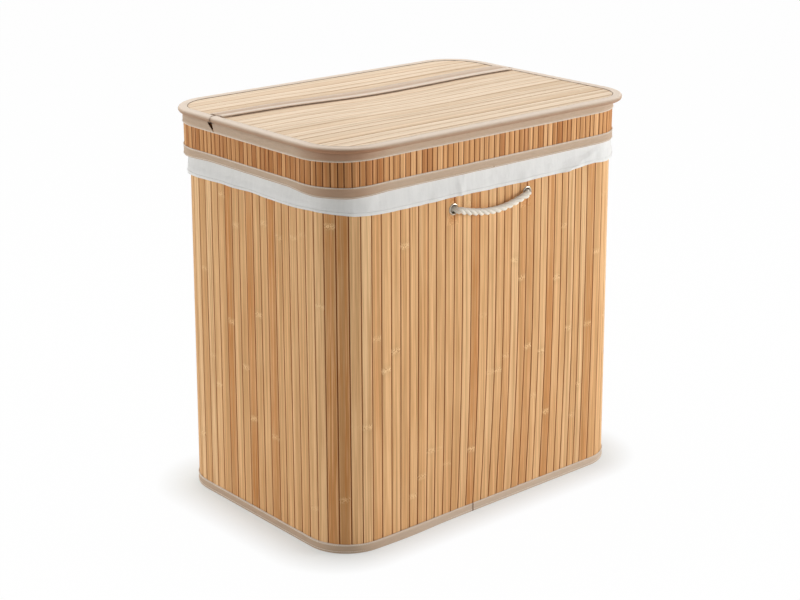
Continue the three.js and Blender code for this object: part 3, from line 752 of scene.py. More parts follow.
def lath_strip(name, count, thickness, edge, rows, crown=0.12):
    """A flat mat of laths, each one unit wide with the gap between them, from height 0 to 1. Its thickness is real."""
    start_clean()
    bpy.ops.mesh.primitive_cube_add(size=1, location=(0.5, -thickness / 2, 0.5))
    lath = named(name)
    bpy.ops.object.transform_apply(location=True, rotation=True, scale=True)
    points = points_of(lath)
    points[:, 1] = np.where(points[:, 1] < -thickness / 2, -thickness, 0.0)
    move_points(lath, points)
    take(lath)
    bpy.ops.object.mode_set(mode="EDIT")
    cuts = [((0.5, 0, k / rows), (0, 0, 1)) for k in range(1, rows)]
    cuts += [((x, 0, 0.5), (1, 0, 0)) for x in (edge, 0.5, 1 - edge)]
    for place, normal in cuts:
        bpy.ops.mesh.select_all(action="SELECT")
        bpy.ops.mesh.bisect(plane_co=place, plane_no=normal)
    bpy.ops.object.mode_set(mode="OBJECT")
    points = points_of(lath)
    front = points[:, 1] > -thickness / 2
    points[front & (np.minimum(points[:, 0], 1 - points[:, 0]) < edge / 2), 1] = -thickness * 0.3
    points[front & (np.abs(points[:, 0] - 0.5) < 0.01), 1] = crown
    move_points(lath, points)
    apply_modifier(
        lath, "ARRAY", count=count, use_relative_offset=False, use_constant_offset=True,
        constant_offset_displace=(1.0, 0.0, 0.0), use_merge_vertices=False,
    )
    return lath


def lay_laths(mat, joints, gap, place, seed, marks, darker=()):
    """Carries a flat mat to its place and gives its laths their tones: joints(number, height) says where two meet"""
    flat = points_of(mat)
    count = round(flat[:, 0].max())
    owner = np.arange(len(flat)) // (len(flat) // count)
    share = flat[:, 0] - owner
    left, right = joints(owner, flat[:, 2]), joints(owner + 1, flat[:, 2])
    along = left + gap / 2 + share * (right - left - gap)
    rng = random.Random(seed)
    lift, tones, heights = (
        np.array([rng.uniform(*reach) for _ in range(count)]) for reach in ((-0.16, 0.16), (0, 1), marks)
    )
    starts = joints(np.arange(count), np.zeros(count))
    # Painted shade: laths that start in the given spans get darker tones
    for start, end, part in darker:
        tones *= 1 - part * ((starts > start) & (starts < end))
    move_points(mat, place(along, flat[:, 1] + lift[owner], flat[:, 2]) * MM)
    for name, values in (("lath", tones[owner]), ("across", share), ("mark", heights[owner] * MM)):
        set_values(mat, name, values)
    edit_whole(mat, bpy.ops.mesh.normals_make_consistent, inside=False)
    smooth(mat, 35)


def frames_along(path):
    """Two directions square to a path at each of its points, which don't twist round it"""
    tangent = np.gradient(path, axis=0)
    tangent /= np.linalg.norm(tangent, axis=1)[:, None]
    normal = np.cross(tangent[0], UP)
    if np.linalg.norm(normal) < 0.1:
        normal = np.cross(tangent[0], (1.0, 0.0, 0.0))
    made = []
    for forward in tangent:
        normal = normal - forward * (normal @ forward)
        normal = normal / np.linalg.norm(normal)
        made.append((normal, np.cross(forward, normal)))
    return made


def tube(path, radius, sides=10):
    """Rings of points along a path, with faces and a map of how far along and round they lie, in millimetres"""
    path = np.array(path, float)
    radii = np.broadcast_to(np.asarray(radius, float), (len(path),))
    points, maps, faces = [], [], []
    for spot, (normal, side), reach, walked in zip(path, frames_along(path), radii, walked_along(path)):
        for j in range(sides):
            turn = 2 * math.pi * j / sides
            points.append(spot + reach * (math.cos(turn) * normal + math.sin(turn) * side))
            maps.append((walked, j / sides))
    last = (len(path) - 1) * sides
    for k in range(0, last, sides):
        for j in range(sides):
            a, b = k + j, k + (j + 1) % sides
            faces.append((a, b, b + sides, a + sides))
    return points, faces + [tuple(range(sides - 1, -1, -1)), tuple(range(last, last + sides))], maps


def from_tubes(name, tubes):
    """One mesh of several tubes, with the yarns' map"""
    points, faces, maps = [], [], []
    for some_points, some_faces, some_maps in tubes:
        faces += [tuple(i + len(points) for i in face) for face in some_faces]
        points += some_points
        maps += some_maps
    piece = from_lists(name, points, [], faces)
    maps = np.array(maps)
    set_weave(piece, maps[:, 0] * MM, maps[:, 1])
    edit_whole(piece, bpy.ops.mesh.normals_make_consistent, inside=False)
    return smooth(piece, 60)


def curve_through(knots, spacing):
    """A smooth line through points, at an even spacing, and how far along it each of its points is"""
    knots = np.array(knots, float)
    padded = np.vstack([2 * knots[0] - knots[1], knots, 2 * knots[-1] - knots[-2]])
    made = []
    for k in range(1, len(padded) - 2):
        a, b, c, d = padded[k - 1:k + 3]
        for t in np.linspace(0, 1, 24, endpoint=False):
            bent = (2 * a - 5 * b + 4 * c - d) * t ** 2 + (3 * b - a - 3 * c + d) * t ** 3
            made.append(0.5 * (2 * b + (c - a) * t + bent))
    made = np.array(made + [knots[-1]])
    walked = walked_along(made)
    even = np.linspace(0, walked[-1], max(4, round(walked[-1] / spacing) + 1))
    return line_at(made, walked, even), even


def three_strands(path, walked, radius, lay, thin=1.0):
    """Three strands laid round a path"""
    strand = radius * 0.475
    squeeze = thin * np.ones(len(path))
    frames = frames_along(path)
    made = []
    for k in range(3):
        turn = 2 * math.pi * (k / 3 + walked / lay)
        line = [
            spot + (radius - strand) * s * (math.cos(t) * n + math.sin(t) * b)
            for spot, (n, b), t, s in zip(path, frames, turn, squeeze)
        ]
        made.append(tube(line, strand * squeeze))
    return made


def stitches(name, line, out, body, finish_name="thread", slot="binding_tape", pitch=None):
    """A row of stitches along a line of points, each a short raised thread"""
    line = np.array(line, float)
    out = np.broadcast_to(np.array(out, float), line.shape)
    pitch = pitch or size("stitch")
    walked = walked_along(line)
    made = []
    for k in range(int(walked[-1] // pitch)):
        reach = (np.array([0.08, 0.3, 0.7, 0.92]) + k) * pitch
        rise = line_at(out, walked, reach) * np.array([-0.15, 0.22, 0.22, -0.15])[:, None]
        made.append(tube(line_at(line, walked, reach) + rise, 0.5, sides=4))
    dress(from_tubes(name, made), finish_name, body)


def seam(name, line, radius, body):
    """A thin dark tube along a line of points: painted shade where a line of shadow falls"""
    dress(from_tubes(name, [tube(line, radius, sides=6)]), "seam", body)


def ring_line(outline, out, height, flare=False, start=0.0, end=None):
    """A line round an outline at one height, with the direction out of it"""
    last = outline.length if end is None else end
    along = np.linspace(start, last, max(8, round((last - start) / 4.0)))
    spots, normals = outline.at(along)
    line = np.column_stack([spots + normals * out, np.full(len(along), float(height))])
    return flared(line) if flare else line, np.column_stack([normals, np.zeros(len(along))])


# Wall

def lean(along, height):
    """Near the foot the mat is drawn to the left, most of all beside its joint in the front"""
    reach = np.interp(along, [-200, -100, -40, 0, 100, 200, 290], [0, 3, 6.5, 9.5, 7.5, 4, 0])
    return -reach * np.interp(height, [0, 50, 100, 160, 220, 300], [1.35, 1.0, 0.7, 0.4, 0.13, 0])


def wall_joints():
    """Where laths meet all round, walked to the right from the front's middle"""
    shown = sorted(LATH_JOINTS)
    hidden_from, hidden_to = shown[-1], shown[0] + WALL.length
    count = round((hidden_to - hidden_from) / LATH_WIDTH)
    pitch = (hidden_to - hidden_from) / count
    rng = random.Random(11)
    hidden = [hidden_from + (k + rng.uniform(-0.03, 0.03)) * pitch for k in range(1, count)]
    return np.array(shown + hidden + [hidden_to])


class HAMPER_OT_wall(bpy.types.Operator):
    """Makes the wall: upright bamboo laths on a cloth backing, bent round four corners"""
    bl_idname = "hamper.wall"
    bl_label = "Wall of laths"

    def execute(self, context):
        joints = wall_joints()
        thickness = size("lath_thickness")
        mat = lath_strip("wall_laths", len(joints) - 1, thickness, 0.055, 9)
        tall = WALL_HEIGHT - WALL_FOOT

        def joint_at(number, share):
            along = joints[number]
            return along + lean(along, WALL_FOOT + share * tall)

        def place(along, out, share):
            spots, normals = WALL.at(along)
            return flared(np.column_stack([spots + normals * out[:, None], WALL_FOOT + share * tall]))

        lay_laths(mat, joint_at, size("lath_gap"), place, 3, (60, 560))
        profile = finer([(-thickness, WALL_FOOT), (-thickness, WALL_HEIGHT)], 60)
        backing = band("wall_backing", WALL, profile, 0.0008, flare=True)
        for piece in (mat, backing):
            for centre in EYELETS.values():
                self.drill(piece, centre)
        dress(mat, "wall laths", "basket", all_round("wall"))
        dress(backing, "wall backing", "basket")
        return {"FINISHED"}

    @staticmethod
    def drill(piece, centre):
        """Cuts the hole for an eyelet"""
        start_clean()
        bpy.ops.mesh.primitive_cylinder_add(
            vertices=32, radius=0.00705, depth=0.03, location=[v * MM for v in centre],
            rotation=(math.pi / 2, 0, 0),
        )
        cutter = named("cutter")
        apply_modifier(piece, "BOOLEAN", operation="DIFFERENCE", object=cutter, solver="EXACT")
        bpy.data.objects.remove(cutter)


class HAMPER_OT_hems(bpy.types.Operator):
    """Makes the tape round the wall's foot and the hem at its top, and finishes the base board and the hoop"""
    bl_idname = "hamper.hems"
    bl_label = "Hems of the wall"

    def execute(self, context):
        self.foot()
        self.top()
        dress_node("base_board", "board")
        dress_node("top_hoop", "wire")
        return {"FINISHED"}

    @staticmethod
    def foot():
        """The foot's tape, folded under the base board, with its joint and two rows of stitches"""
        top = high("bottom_tape", "z")
        out = high("bottom_tape", "x") - WALL_HALF[0] - FLARE[0]
        profile = finer([(-17.0, 0.05), (out - 0.6, 0.05), (out, 0.6), (out, top - 0.3), (out - 0.3, top)], 4.0)
        joint = WALL.length - 34.6
        count = round(WALL.length / 7.0)
        wobble = np.random.default_rng(5).uniform(-1, 1, count)
        loose_at = WALL.rule(np.interp(np.linspace(0, 1, 1000), np.linspace(0, 1, count), wobble))

        def ripple(along, share):
            loose, near = loose_at(along), hill(WALL.past(along, joint, 200), 0, 5)
            height = share * (share > 0.6)
            walked = WALL.past(along, 0, 700)
            lower = np.interp(walked, [-300, -230, 290, 400], [0, 1.1, 1.1, 0])
            lifted = 1.5 * (hill(walked, -548, 26) + 0.9 * hill(walked, -350, 22)) * (share < 0.8)
            bulge = 3.2 * hill(walked, -165, 60) * np.interp(share, [0.3, 0.5, 0.75, 1.0], [0.0, 1.0, 0.8, 0.1])
            up = 0.25 * loose - 0.5 * near - lower + lifted
            return (0.12 * loose + 0.35 * near) * height + bulge, up * height

        foot = band("foot_tape", WALL, profile, size("tape") * MM, step=7.0, flare=True, ripple=ripple)
        # Painted highlight along the tape's top edge, and painted light on its face, none at the left side and growing
        # towards the front
        crest(foot, lambda x, y, z: np.where(z > top - 2.6, 0.9, 0.35 * np.clip((x + 280) / 160, 0, 1)))
        finish_tape(foot, "basket", "bottom_tape")
        line, _ = ring_line(WALL, out + 0.2, 0.0, flare=True, start=joint - 1, end=joint + 1)
        slit = [(*line[len(line) // 2, :2], height) for height in np.linspace(1.0, top - 1.6, 8)]
        # A thin dark tube paints the shade in the joint's slit
        seam("foot_tape_joint", slit, 0.8, "basket")
        for name, height in (("foot_stitches_upper", top - 2.2), ("foot_stitches_lower", 3.2)):
            stitches(name, *ring_line(WALL, out, height, flare=True), "basket")

    @staticmethod
    def top():
        """The hem round the wire hoop, hidden under the cuff"""
        foot, top = low("top_tape", "z"), high("top_tape", "z")
        inside = high("top_hoop", "x") - WALL_HALF[0] - 4.245
        outside = high("top_tape", "x") - WALL_HALF[0] - FLARE[0] * (1 - foot / WALL_HEIGHT)
        profile = finer([
            (outside, foot), (outside, top - 0.3), (outside - 0.4, top), (inside + 0.4, top), (inside, top - 0.4),
            (inside, foot),
        ], 6.0)
        hem = band("top_hem_tape", WALL, profile, size("tape") * MM, flare=True)
        finish_tape(hem, "basket", "top_tape")


# Handles

class HAMPER_OT_handles(bpy.types.Operator):
    """Makes the two rope handles, their eyelets, and the knots that hold them inside the wall"""
    bl_idname = "hamper.handles"
    bl_label = "Rope handles"

    def execute(self, context):
        diameter = size("rope") * MM
        for side, turn, exit_name in (("front", 1, "eyelet_front_left"), ("back", -1, "eyelet_back_right")):
            path, walked = curve_through([(x * turn, y * turn, z) for x, y, z in self.route()], 1.4)
            ends = np.minimum(walked, walked[-1] - walked)
            thin = np.interp(ends, [0.0, 3.0, 7.0, 12.0], [0.7, 0.82, 0.97, 1.0])
            strands = three_strands(path, walked, size("rope") / 2, size("rope_lay"), thin)
            rope = from_tubes(f"{side}_handle_rope", strands)
            dress(rope, "rope", f"{side}_handle", [f"{side}_rope"])
        for name, (x, y, z) in EYELETS.items():
            out = -1 if "front" in name else 1
            self.eyelet(name, x, y, z, out)
            self.knot(name.replace("eyelet", "rope_knot"), x, y, z, out)
        return {"FINISHED"}

    @staticmethod
    def route():
        """The route with its ends turned in towards the eyelets"""
        left, right = np.array(EYELETS["eyelet_front_left"]), np.array(EYELETS["eyelet_front_right"])
        start = [left + step for step in ((1.6, 1.2, 0.0), (2.0, -1.6, -0.1), (3.8, -4.4, -0.9))]
        end = [right + step for step in ((-4.0, -4.7, -0.5), (-1.2, -2.0, 0.1), (-0.6, 1.2, 0.2))]
        return start + [(x, ROPE_OUT, z) for x, z in ROPE_ROUTE if left[0] + 6 < x < right[0] - 6] + end

    @staticmethod
    def eyelet(name, x, y, z, out):
        """Turned from its section: a rolled flange outside, the barrel, and the rolled edge inside"""
        bore, barrel, flange = 5.85, 6.75, 8.7
        section = [
            (bore, -4.9), (7.4, -4.9), (7.7, -4.6), (7.4, -4.2), (barrel, -4.2), (barrel, -1.2),
            (flange - 0.1, -1.2), (flange, -0.9), (flange - 0.25, -0.45), (flange - 0.9, -0.12), (7.2, 0.0),
            (bore + 0.7, -0.2), (bore + 0.15, -0.7), (bore, -1.4),
        ]
        count = len(section)
        edges = [(k, (k + 1) % count) for k in range(count)]
        made = from_lists(f"{name}_ring", [(x + r, y + out * d, z) for r, d in section], edges, [])
        centre = (x * MM, y * MM, z * MM)
        edit_whole(made, bpy.ops.mesh.spin, steps=40, angle=2 * math.pi, center=centre, axis=(0, 1, 0))
        edit_whole(made, bpy.ops.mesh.remove_doubles, threshold=0.00001)
        edit_whole(made, bpy.ops.mesh.normals_make_consistent, inside=False)
        smooth(made, 30)
        dress(made, "eyelets", "basket", [name])

    @staticmethod
    def knot(name, x, y, z, out):
        """The rope through the eyelet, ending in an overhand knot against the wall's inside"""
        toward = 1.6 if ("left" in name) == ("front" in name) else -0.8
        deeps = ((toward, -1.0), (toward, 2.5), (0.0, 6.0), (0.0, 10.0))
        stub, walked = curve_through([(x + aside, y - out * deep, z) for aside, deep in deeps], 1.3)
        tubes = three_strands(stub, walked, 4.2, 30.0, np.interp(walked, [0, 1.5, 3], [0.55, 0.9, 1.0]))
        turn = 2 * math.pi * np.arange(73) / 72
        loop = np.column_stack([
            x + (np.sin(turn) + 2 * np.sin(2 * turn)) * 2.35,
            y - out * (13.1 + 2.7 * np.sin(3 * turn)),
            z + (np.cos(turn) - 2 * np.cos(2 * turn)) * 2.35,
        ])
        tubes += three_strands(loop, walked_along(loop), 3.7, 24.0)
        dress(from_tubes(f"{name}_tied", tubes), "rope", "basket", [name])


# Liner

class HAMPER_OT_cuff(bpy.types.Operator):
    """Makes the liner's cuff, which goes over the wall's hem and falls outside it in soft folds"""
    bl_idname = "hamper.cuff"
    bl_label = "Liner cuff"

    def execute(self, context):
        top, hem = high("liner_cuff", "z"), low("liner_cuff", "z") + 0.6
        outside, inside = 1.6, -7.6
        profile = finer([
            (outside, hem), (outside, hem + 30), (outside, top - 2.5), (outside - 0.7, top - 0.6),
            (outside - 2.4, top), (inside + 2.4, top), (inside + 0.7, top - 0.6), (inside, top - 2.5),
            (inside, top - 20.0),
        ], 4.5)
        ripple = self.folds(profile, hem)
        cuff = band(
            "liner_cuff_cloth", WALL, profile, size("cloth") * MM, step=4.0, flare=True, ripple=ripple, angle=70
        )
        finish_liner(cuff, ["liner_cuff"])
        along = np.linspace(0, WALL.length, 460)
        spots, normals = WALL.at(along)
        share = np.full(len(along), 1.15 / (len(profile) - 1))
        out, height = profile_at(profile, share)
        more, up = ripple(along, share)
        line = flared(np.column_stack([spots + normals * (out + more)[:, None], height + up]))
        normals = np.column_stack([normals, np.zeros(len(along))])
        stitches("cuff_stitches", line, normals, "liner", "liner", "liner_cloth", 3.4)
        return {"FINISHED"}

    @staticmethod
    def folds(profile, hem):
        """How far the cuff stands out and is drawn up: folds, creases, its seam at the left and a tuck at the right"""
        folds = cloth_noise(21, 9, 3.0, 11.0, 1.5)
        creases = cloth_noise(22, 14, 14.0, 46.0, 0.7)
        seam_place = WALL.length - 72.0
        tuck_place = 203.0

        def ripple(along, share):
            spots, _ = WALL.at(along)
            _, height = profile_at(profile, share)
            points = np.column_stack([spots, height * 1.6])
            outside = share < 0.5
            hanging = np.clip((542 - height) / 34, 0, 1) * outside
            by_hem = np.clip((hem + 26 - height) / 26, 0, 1) * outside
            away = WALL.past(along, seam_place, 300)
            ridges = 2.2 * hill(away, 3, 2.4) - 0.8 * hill(away, -2, 2.2)
            ridges += 1.8 * hill(away, 11 + (height - 520) * 0.25, 3.6)
            tuck = 2.8 * hill(WALL.past(along), tuck_place + (height - 520) * 3.0, 11)
            ridges += tuck * np.clip((540 - height) / 30, 0, 1)
            out = hanging * (2.4 + folds(points) + creases(points)) + ridges * hanging ** 0.4
            doubled = 0.55 * np.clip((hem + 17 - height) / 3, 0, 1) * outside
            rise = 2.6 * hill(WALL.past(along), 207, 22) + 1.2 * hill(away, 0, 16)
            rise += np.interp(WALL.past(along, 0, 700), *zip(*HEM_RISE), left=0, right=0)
            return np.maximum(out, -0.25) + doubled, (0.54 * folds(points[:, [1, 0, 2]]) + rise) * by_hem

        return ripple


class HAMPER_OT_bins(bpy.types.Operator):
    """Makes the two bins of the liner: hanging cloth walls, a divider between them and their floors"""
    bl_idname = "hamper.bins"
    bl_label = "Liner bins"

    def execute(self, context):
        top, foot = high("liner_front", "z"), low("liner_front", "z")
        hung = -low("liner_front", "y") - WALL_HALF[1]
        drawn = hung - DRAWN_IN
        profile = finer([(hung, top), (hung, NECK[1]), (drawn, NECK[0]), (drawn, foot + 0.4)], 15.0)
        sag = cloth_noise(31, 10, 2.5, 9.0, 1.5)
        small = cloth_noise(32, 12, 12.0, 30.0, 0.45)

        def ripple(along, share):
            spots, _ = WALL.at(along)
            _, height = profile_at(profile, share)
            points = np.column_stack([spots, height * 0.5])
            hanging = np.clip((top - height) / 80, 0, 1) * np.clip((height - foot) / 30, 0, 1)
            return -np.abs(sag(points) + small(points)) * hanging, np.zeros(len(along))

        walls = band("bin_walls_cloth", WALL, profile, 0.001, ripple=ripple, angle=70)
        finish_liner(walls, all_round("liner"))
        self.divider(sag)
        for side, sign, seed in (("left", -1, 41), ("right", 1, 42)):
            self.floor(side, sign, seed, WALL.grown(drawn - 1.3), foot)
        return {"FINISHED"}

    @staticmethod
    def divider(sag):
        """The cloth between the bins, which hangs in a slack curve from its top"""
        foot, top = low("bin_divider", "z"), high("bin_divider", "z")
        reach = high("bin_divider", "y")

        def place(along, share):
            height = foot + share * (top - foot)
            y = (along - 0.5) * 2 * np.interp(height, NECK, [reach - DRAWN_IN, reach])
            loose = np.sin(math.pi * along) * np.sin(math.pi * np.clip(share, 0, 1)) ** 0.6
            folds = 0.6 * sag(np.column_stack([y, y * 0, height]))
            x = 1.0 + (3.5 * np.sin(2.1 * math.pi * along + 0.6) + folds) * loose
            dip = 5.0 * np.sin(math.pi * along) * np.clip((share - 0.8) / 0.2, 0, 1)
            return np.column_stack([x, y, height - dip])

        made = sheet("bin_divider_cloth", 0, 1, 44, 60, place, top - foot, 0.0016, centre=(-1, 0, 0.3), angle=70)
        widen_weave(made, 2 * reach)
        finish_liner(made, ["bin_divider"])
        line = place(np.linspace(0.004, 0.996, 90), np.full(90, 0.978))
        stitches("divider_stitches", line, (1.0, 0, 0), "liner", "liner", "liner_cloth", 3.6)

    @staticmethod
    def floor(side, sign, seed, inner, foot):
        """One bin's floor, cut to the plan inside its walls"""
        wide, back = inner.sides[1], inner.sides[3]
        rise = cloth_noise(seed, 8, 4.0, 14.0, 0.55)

        def place(along, share):
            y = (share - 0.5) * 2 * (back - 0.2)
            x = sign * (0.3 + along * (inner.half_width(y) - 0.3))
            crown = np.abs(rise(np.column_stack([x, y, x * 0]))) * np.sin(math.pi * along) * np.sin(math.pi * share)
            return np.column_stack([x, y, foot + 1.0 + crown])

        made = sheet(f"bin_floor_{side}_cloth", 0, 1, 40, 44, place, 2 * back, 0.001, centre=(0, 0, -1), angle=70)
        widen_weave(made, wide)
        finish_liner(made, [f"bin_floor_{side}"])


# Lid

def tape_rise(along):
    """How far the skirt's lower tape is drawn up at its lower and its upper edge"""
    walked, at_foot, at_top = zip(*TAPE_RISE)
    return [np.interp(SKIRT.past(along), walked, values) for values in (at_foot, at_top)]


def ease(share):
    """Falls smoothly from 1 to 0"""
    return 0.5 + 0.5 * np.cos(math.pi * np.clip(share, 0, 1))


def laid(x, y, z):
    """Points of the lid's top. The split and the laths beside it run aslant, and the middle hangs a little there."""
    x, y, z = np.broadcast_arrays(np.asarray(x, float), y, z)
    aslant = np.where(
        y < SPLIT, np.clip((y + 200) / (SPLIT + 200), 0, 1) ** 1.4, np.clip((200 - y) / (200 - SPLIT), 0, 1) ** 1.6,
    )
    across = ease(np.abs(x) / np.where(x < 0, 205, 245))
    along = np.where(y < 75, ease((75 - y) / 275), np.clip(1 - (y - 75) / 125, 0, 1) ** 1.3)
    return np.column_stack([x, y - DRIFT * x * aslant, z - size("lid_sag") * across * along])


class HAMPER_OT_skirt(bpy.types.Operator):
    """Makes the lid's skirt: narrow laths on a cloth backing, between two rows of tape"""
    bl_idname = "hamper.skirt"
    bl_label = "Lid skirt"

    def execute(self, context):
        foot, top = low("skirt_front", "z"), high("skirt_front", "z")
        count = round(SKIRT.length / size("skirt_pitch"))
        pitch = SKIRT.length / count
        rng = random.Random(17)
        joints = np.array([(k + rng.uniform(-0.11, 0.11)) * pitch for k in range(count)] + [0.0])
        joints[-1] = joints[0] + SKIRT.length
        thickness = 1.4
        mat = lath_strip("skirt_laths", count, thickness, 0.07, 3, crown=0.08)

        def lifted(along, share):
            return (1 - share) * np.maximum(tape_rise(along)[0] + 0.8, 0)

        def place(along, out, share):
            spots, normals = SKIRT.at(along)
            notched = (spots[:, 0] < 0) & (np.abs(spots[:, 1] - NOTCH[0]) < NOTCH[1]) & (share > 0.9)
            height = foot + share * (top - foot) + lifted(along, share) - 8.0 * notched
            return np.column_stack([spots + normals * out[:, None], height])

        marks = (foot - 300, top + 200)
        lay_laths(mat, lambda number, share: joints[number], 1.3, place, 23, marks, SHADED_SKIRT)
        dress(mat, "skirt laths", "lid", all_round("skirt"))
        profile = finer([(-thickness, foot), (-thickness, top)], 20.0)
        backing = band("skirt_backing", SKIRT, profile, 0.0006, ripple=lambda along, share: (0.0, lifted(along, share)))
        dress(backing, "skirt backing", "lid")
        loose = SKIRT.rule(np.random.default_rng(8).uniform(-1, 1, 160))
        out, inner = high("skirt_lower_tape", "x") - 295.6, -2.0
        self.lower_tape(out, inner, loose)
        self.upper_tape(out, inner, loose)
        return {"FINISHED"}

    @staticmethod
    def lower_tape(out, inner, loose):
        """The tape along the skirt's lower edge, drawn up in places"""
        foot, top = low("skirt_lower_tape", "z"), high("skirt_lower_tape", "z")

        def drawn_up(along, share):
            at_foot, at_top = tape_rise(along)
            up = at_foot + (at_top - at_foot) * np.clip((share - 0.2) / 0.8, 0, 1)
            return 0.1 * loose(along), 0.2 * loose(along) + up

        profile = finer([(inner, foot + 0.05), (out - 0.5, foot + 0.05), (out, foot + 0.5), (out, top)], 4.0)
        tape = band("skirt_lower_binding", SKIRT, profile, size("tape") * MM, step=7.0, ripple=drawn_up)
        lowest = min(rise for _, rise, _ in TAPE_RISE)
        # Painted highlight along the tape's edges
        crest(tape, lambda x, y, z: 0.8 * ((z < foot + lowest - 1.8) | (z > top - 1.8)))
        finish_tape(tape, "lid", "skirt_lower_tape")
        for which, (name, height) in enumerate((("lower", foot + 1.6), ("middle", top - 1.1))):
            line, normal = ring_line(SKIRT, out, height)
            line[:, 2] += tape_rise(np.linspace(0, SKIRT.length, len(line)))[which]
            stitches(f"skirt_stitches_{name}", line, normal, "lid")

    @staticmethod
    def upper_tape(out, inner, loose):
        """The tape along the skirt's upper edge, in two runs that part under the lid's split"""
        foot, top = low("skirt_upper_tape_front", "z"), high("skirt_upper_tape_front", "z") + 0.5
        profile = finer([(out, foot), (out, top - 1.8), (out - 1.3, top + 0.5), (inner - 1.0, top + 0.5)], 4.0)
        left, right = SKIRT.walked_to("left", SPLIT), SKIRT.walked_to("right", SPLIT)
        # For each run its start and end, the side of the split, and where its ends lie at the left and the right,
        # at the tape's foot and by how much further at its top
        runs = (
            ("rear", right + 2.0, left - 2.0, 1, (71.9, 17.1), (73.8, 1.6)),
            ("front", left + 2.0, right + SKIRT.length - 2.0, -1, (71.4, 5.1), (73.4, -0.8)),
        )
        for name, start, end, sign, at_left, at_right in runs:
            tape = band(
                f"skirt_upper_binding_{name}", SKIRT, profile, size("tape") * MM, step=6.0, start=start, end=end,
                ripple=lambda along, share: (0.1 * loose(along), 0.2 * loose(along)),
            )
            points = points_of(tape)
            x, y, z = (points / MM).T
            rise = np.clip((z - foot) / (top - foot), 0, 1)
            square = SPLIT + 2.0 * sign
            aslant = np.where(x < 0, at_left[0] + at_left[1] * rise, at_right[0] + at_right[1] * rise)
            points[:, 1] += (aslant - square) * np.clip(1 - np.abs(y - square) / 24, 0, 1) * MM
            move_points(tape, points)
            # Painted highlight along the tape's lower edge
            crest(tape, lambda x, y, z: 0.8 * (z < foot + 1.2))
            finish_tape(tape, "lid", f"skirt_upper_tape_{name}")
            line, normal = ring_line(SKIRT, out, foot + 1.1, start=start + 1, end=end - 1)
            stitches(f"skirt_stitches_{name}", line, normal, "lid")


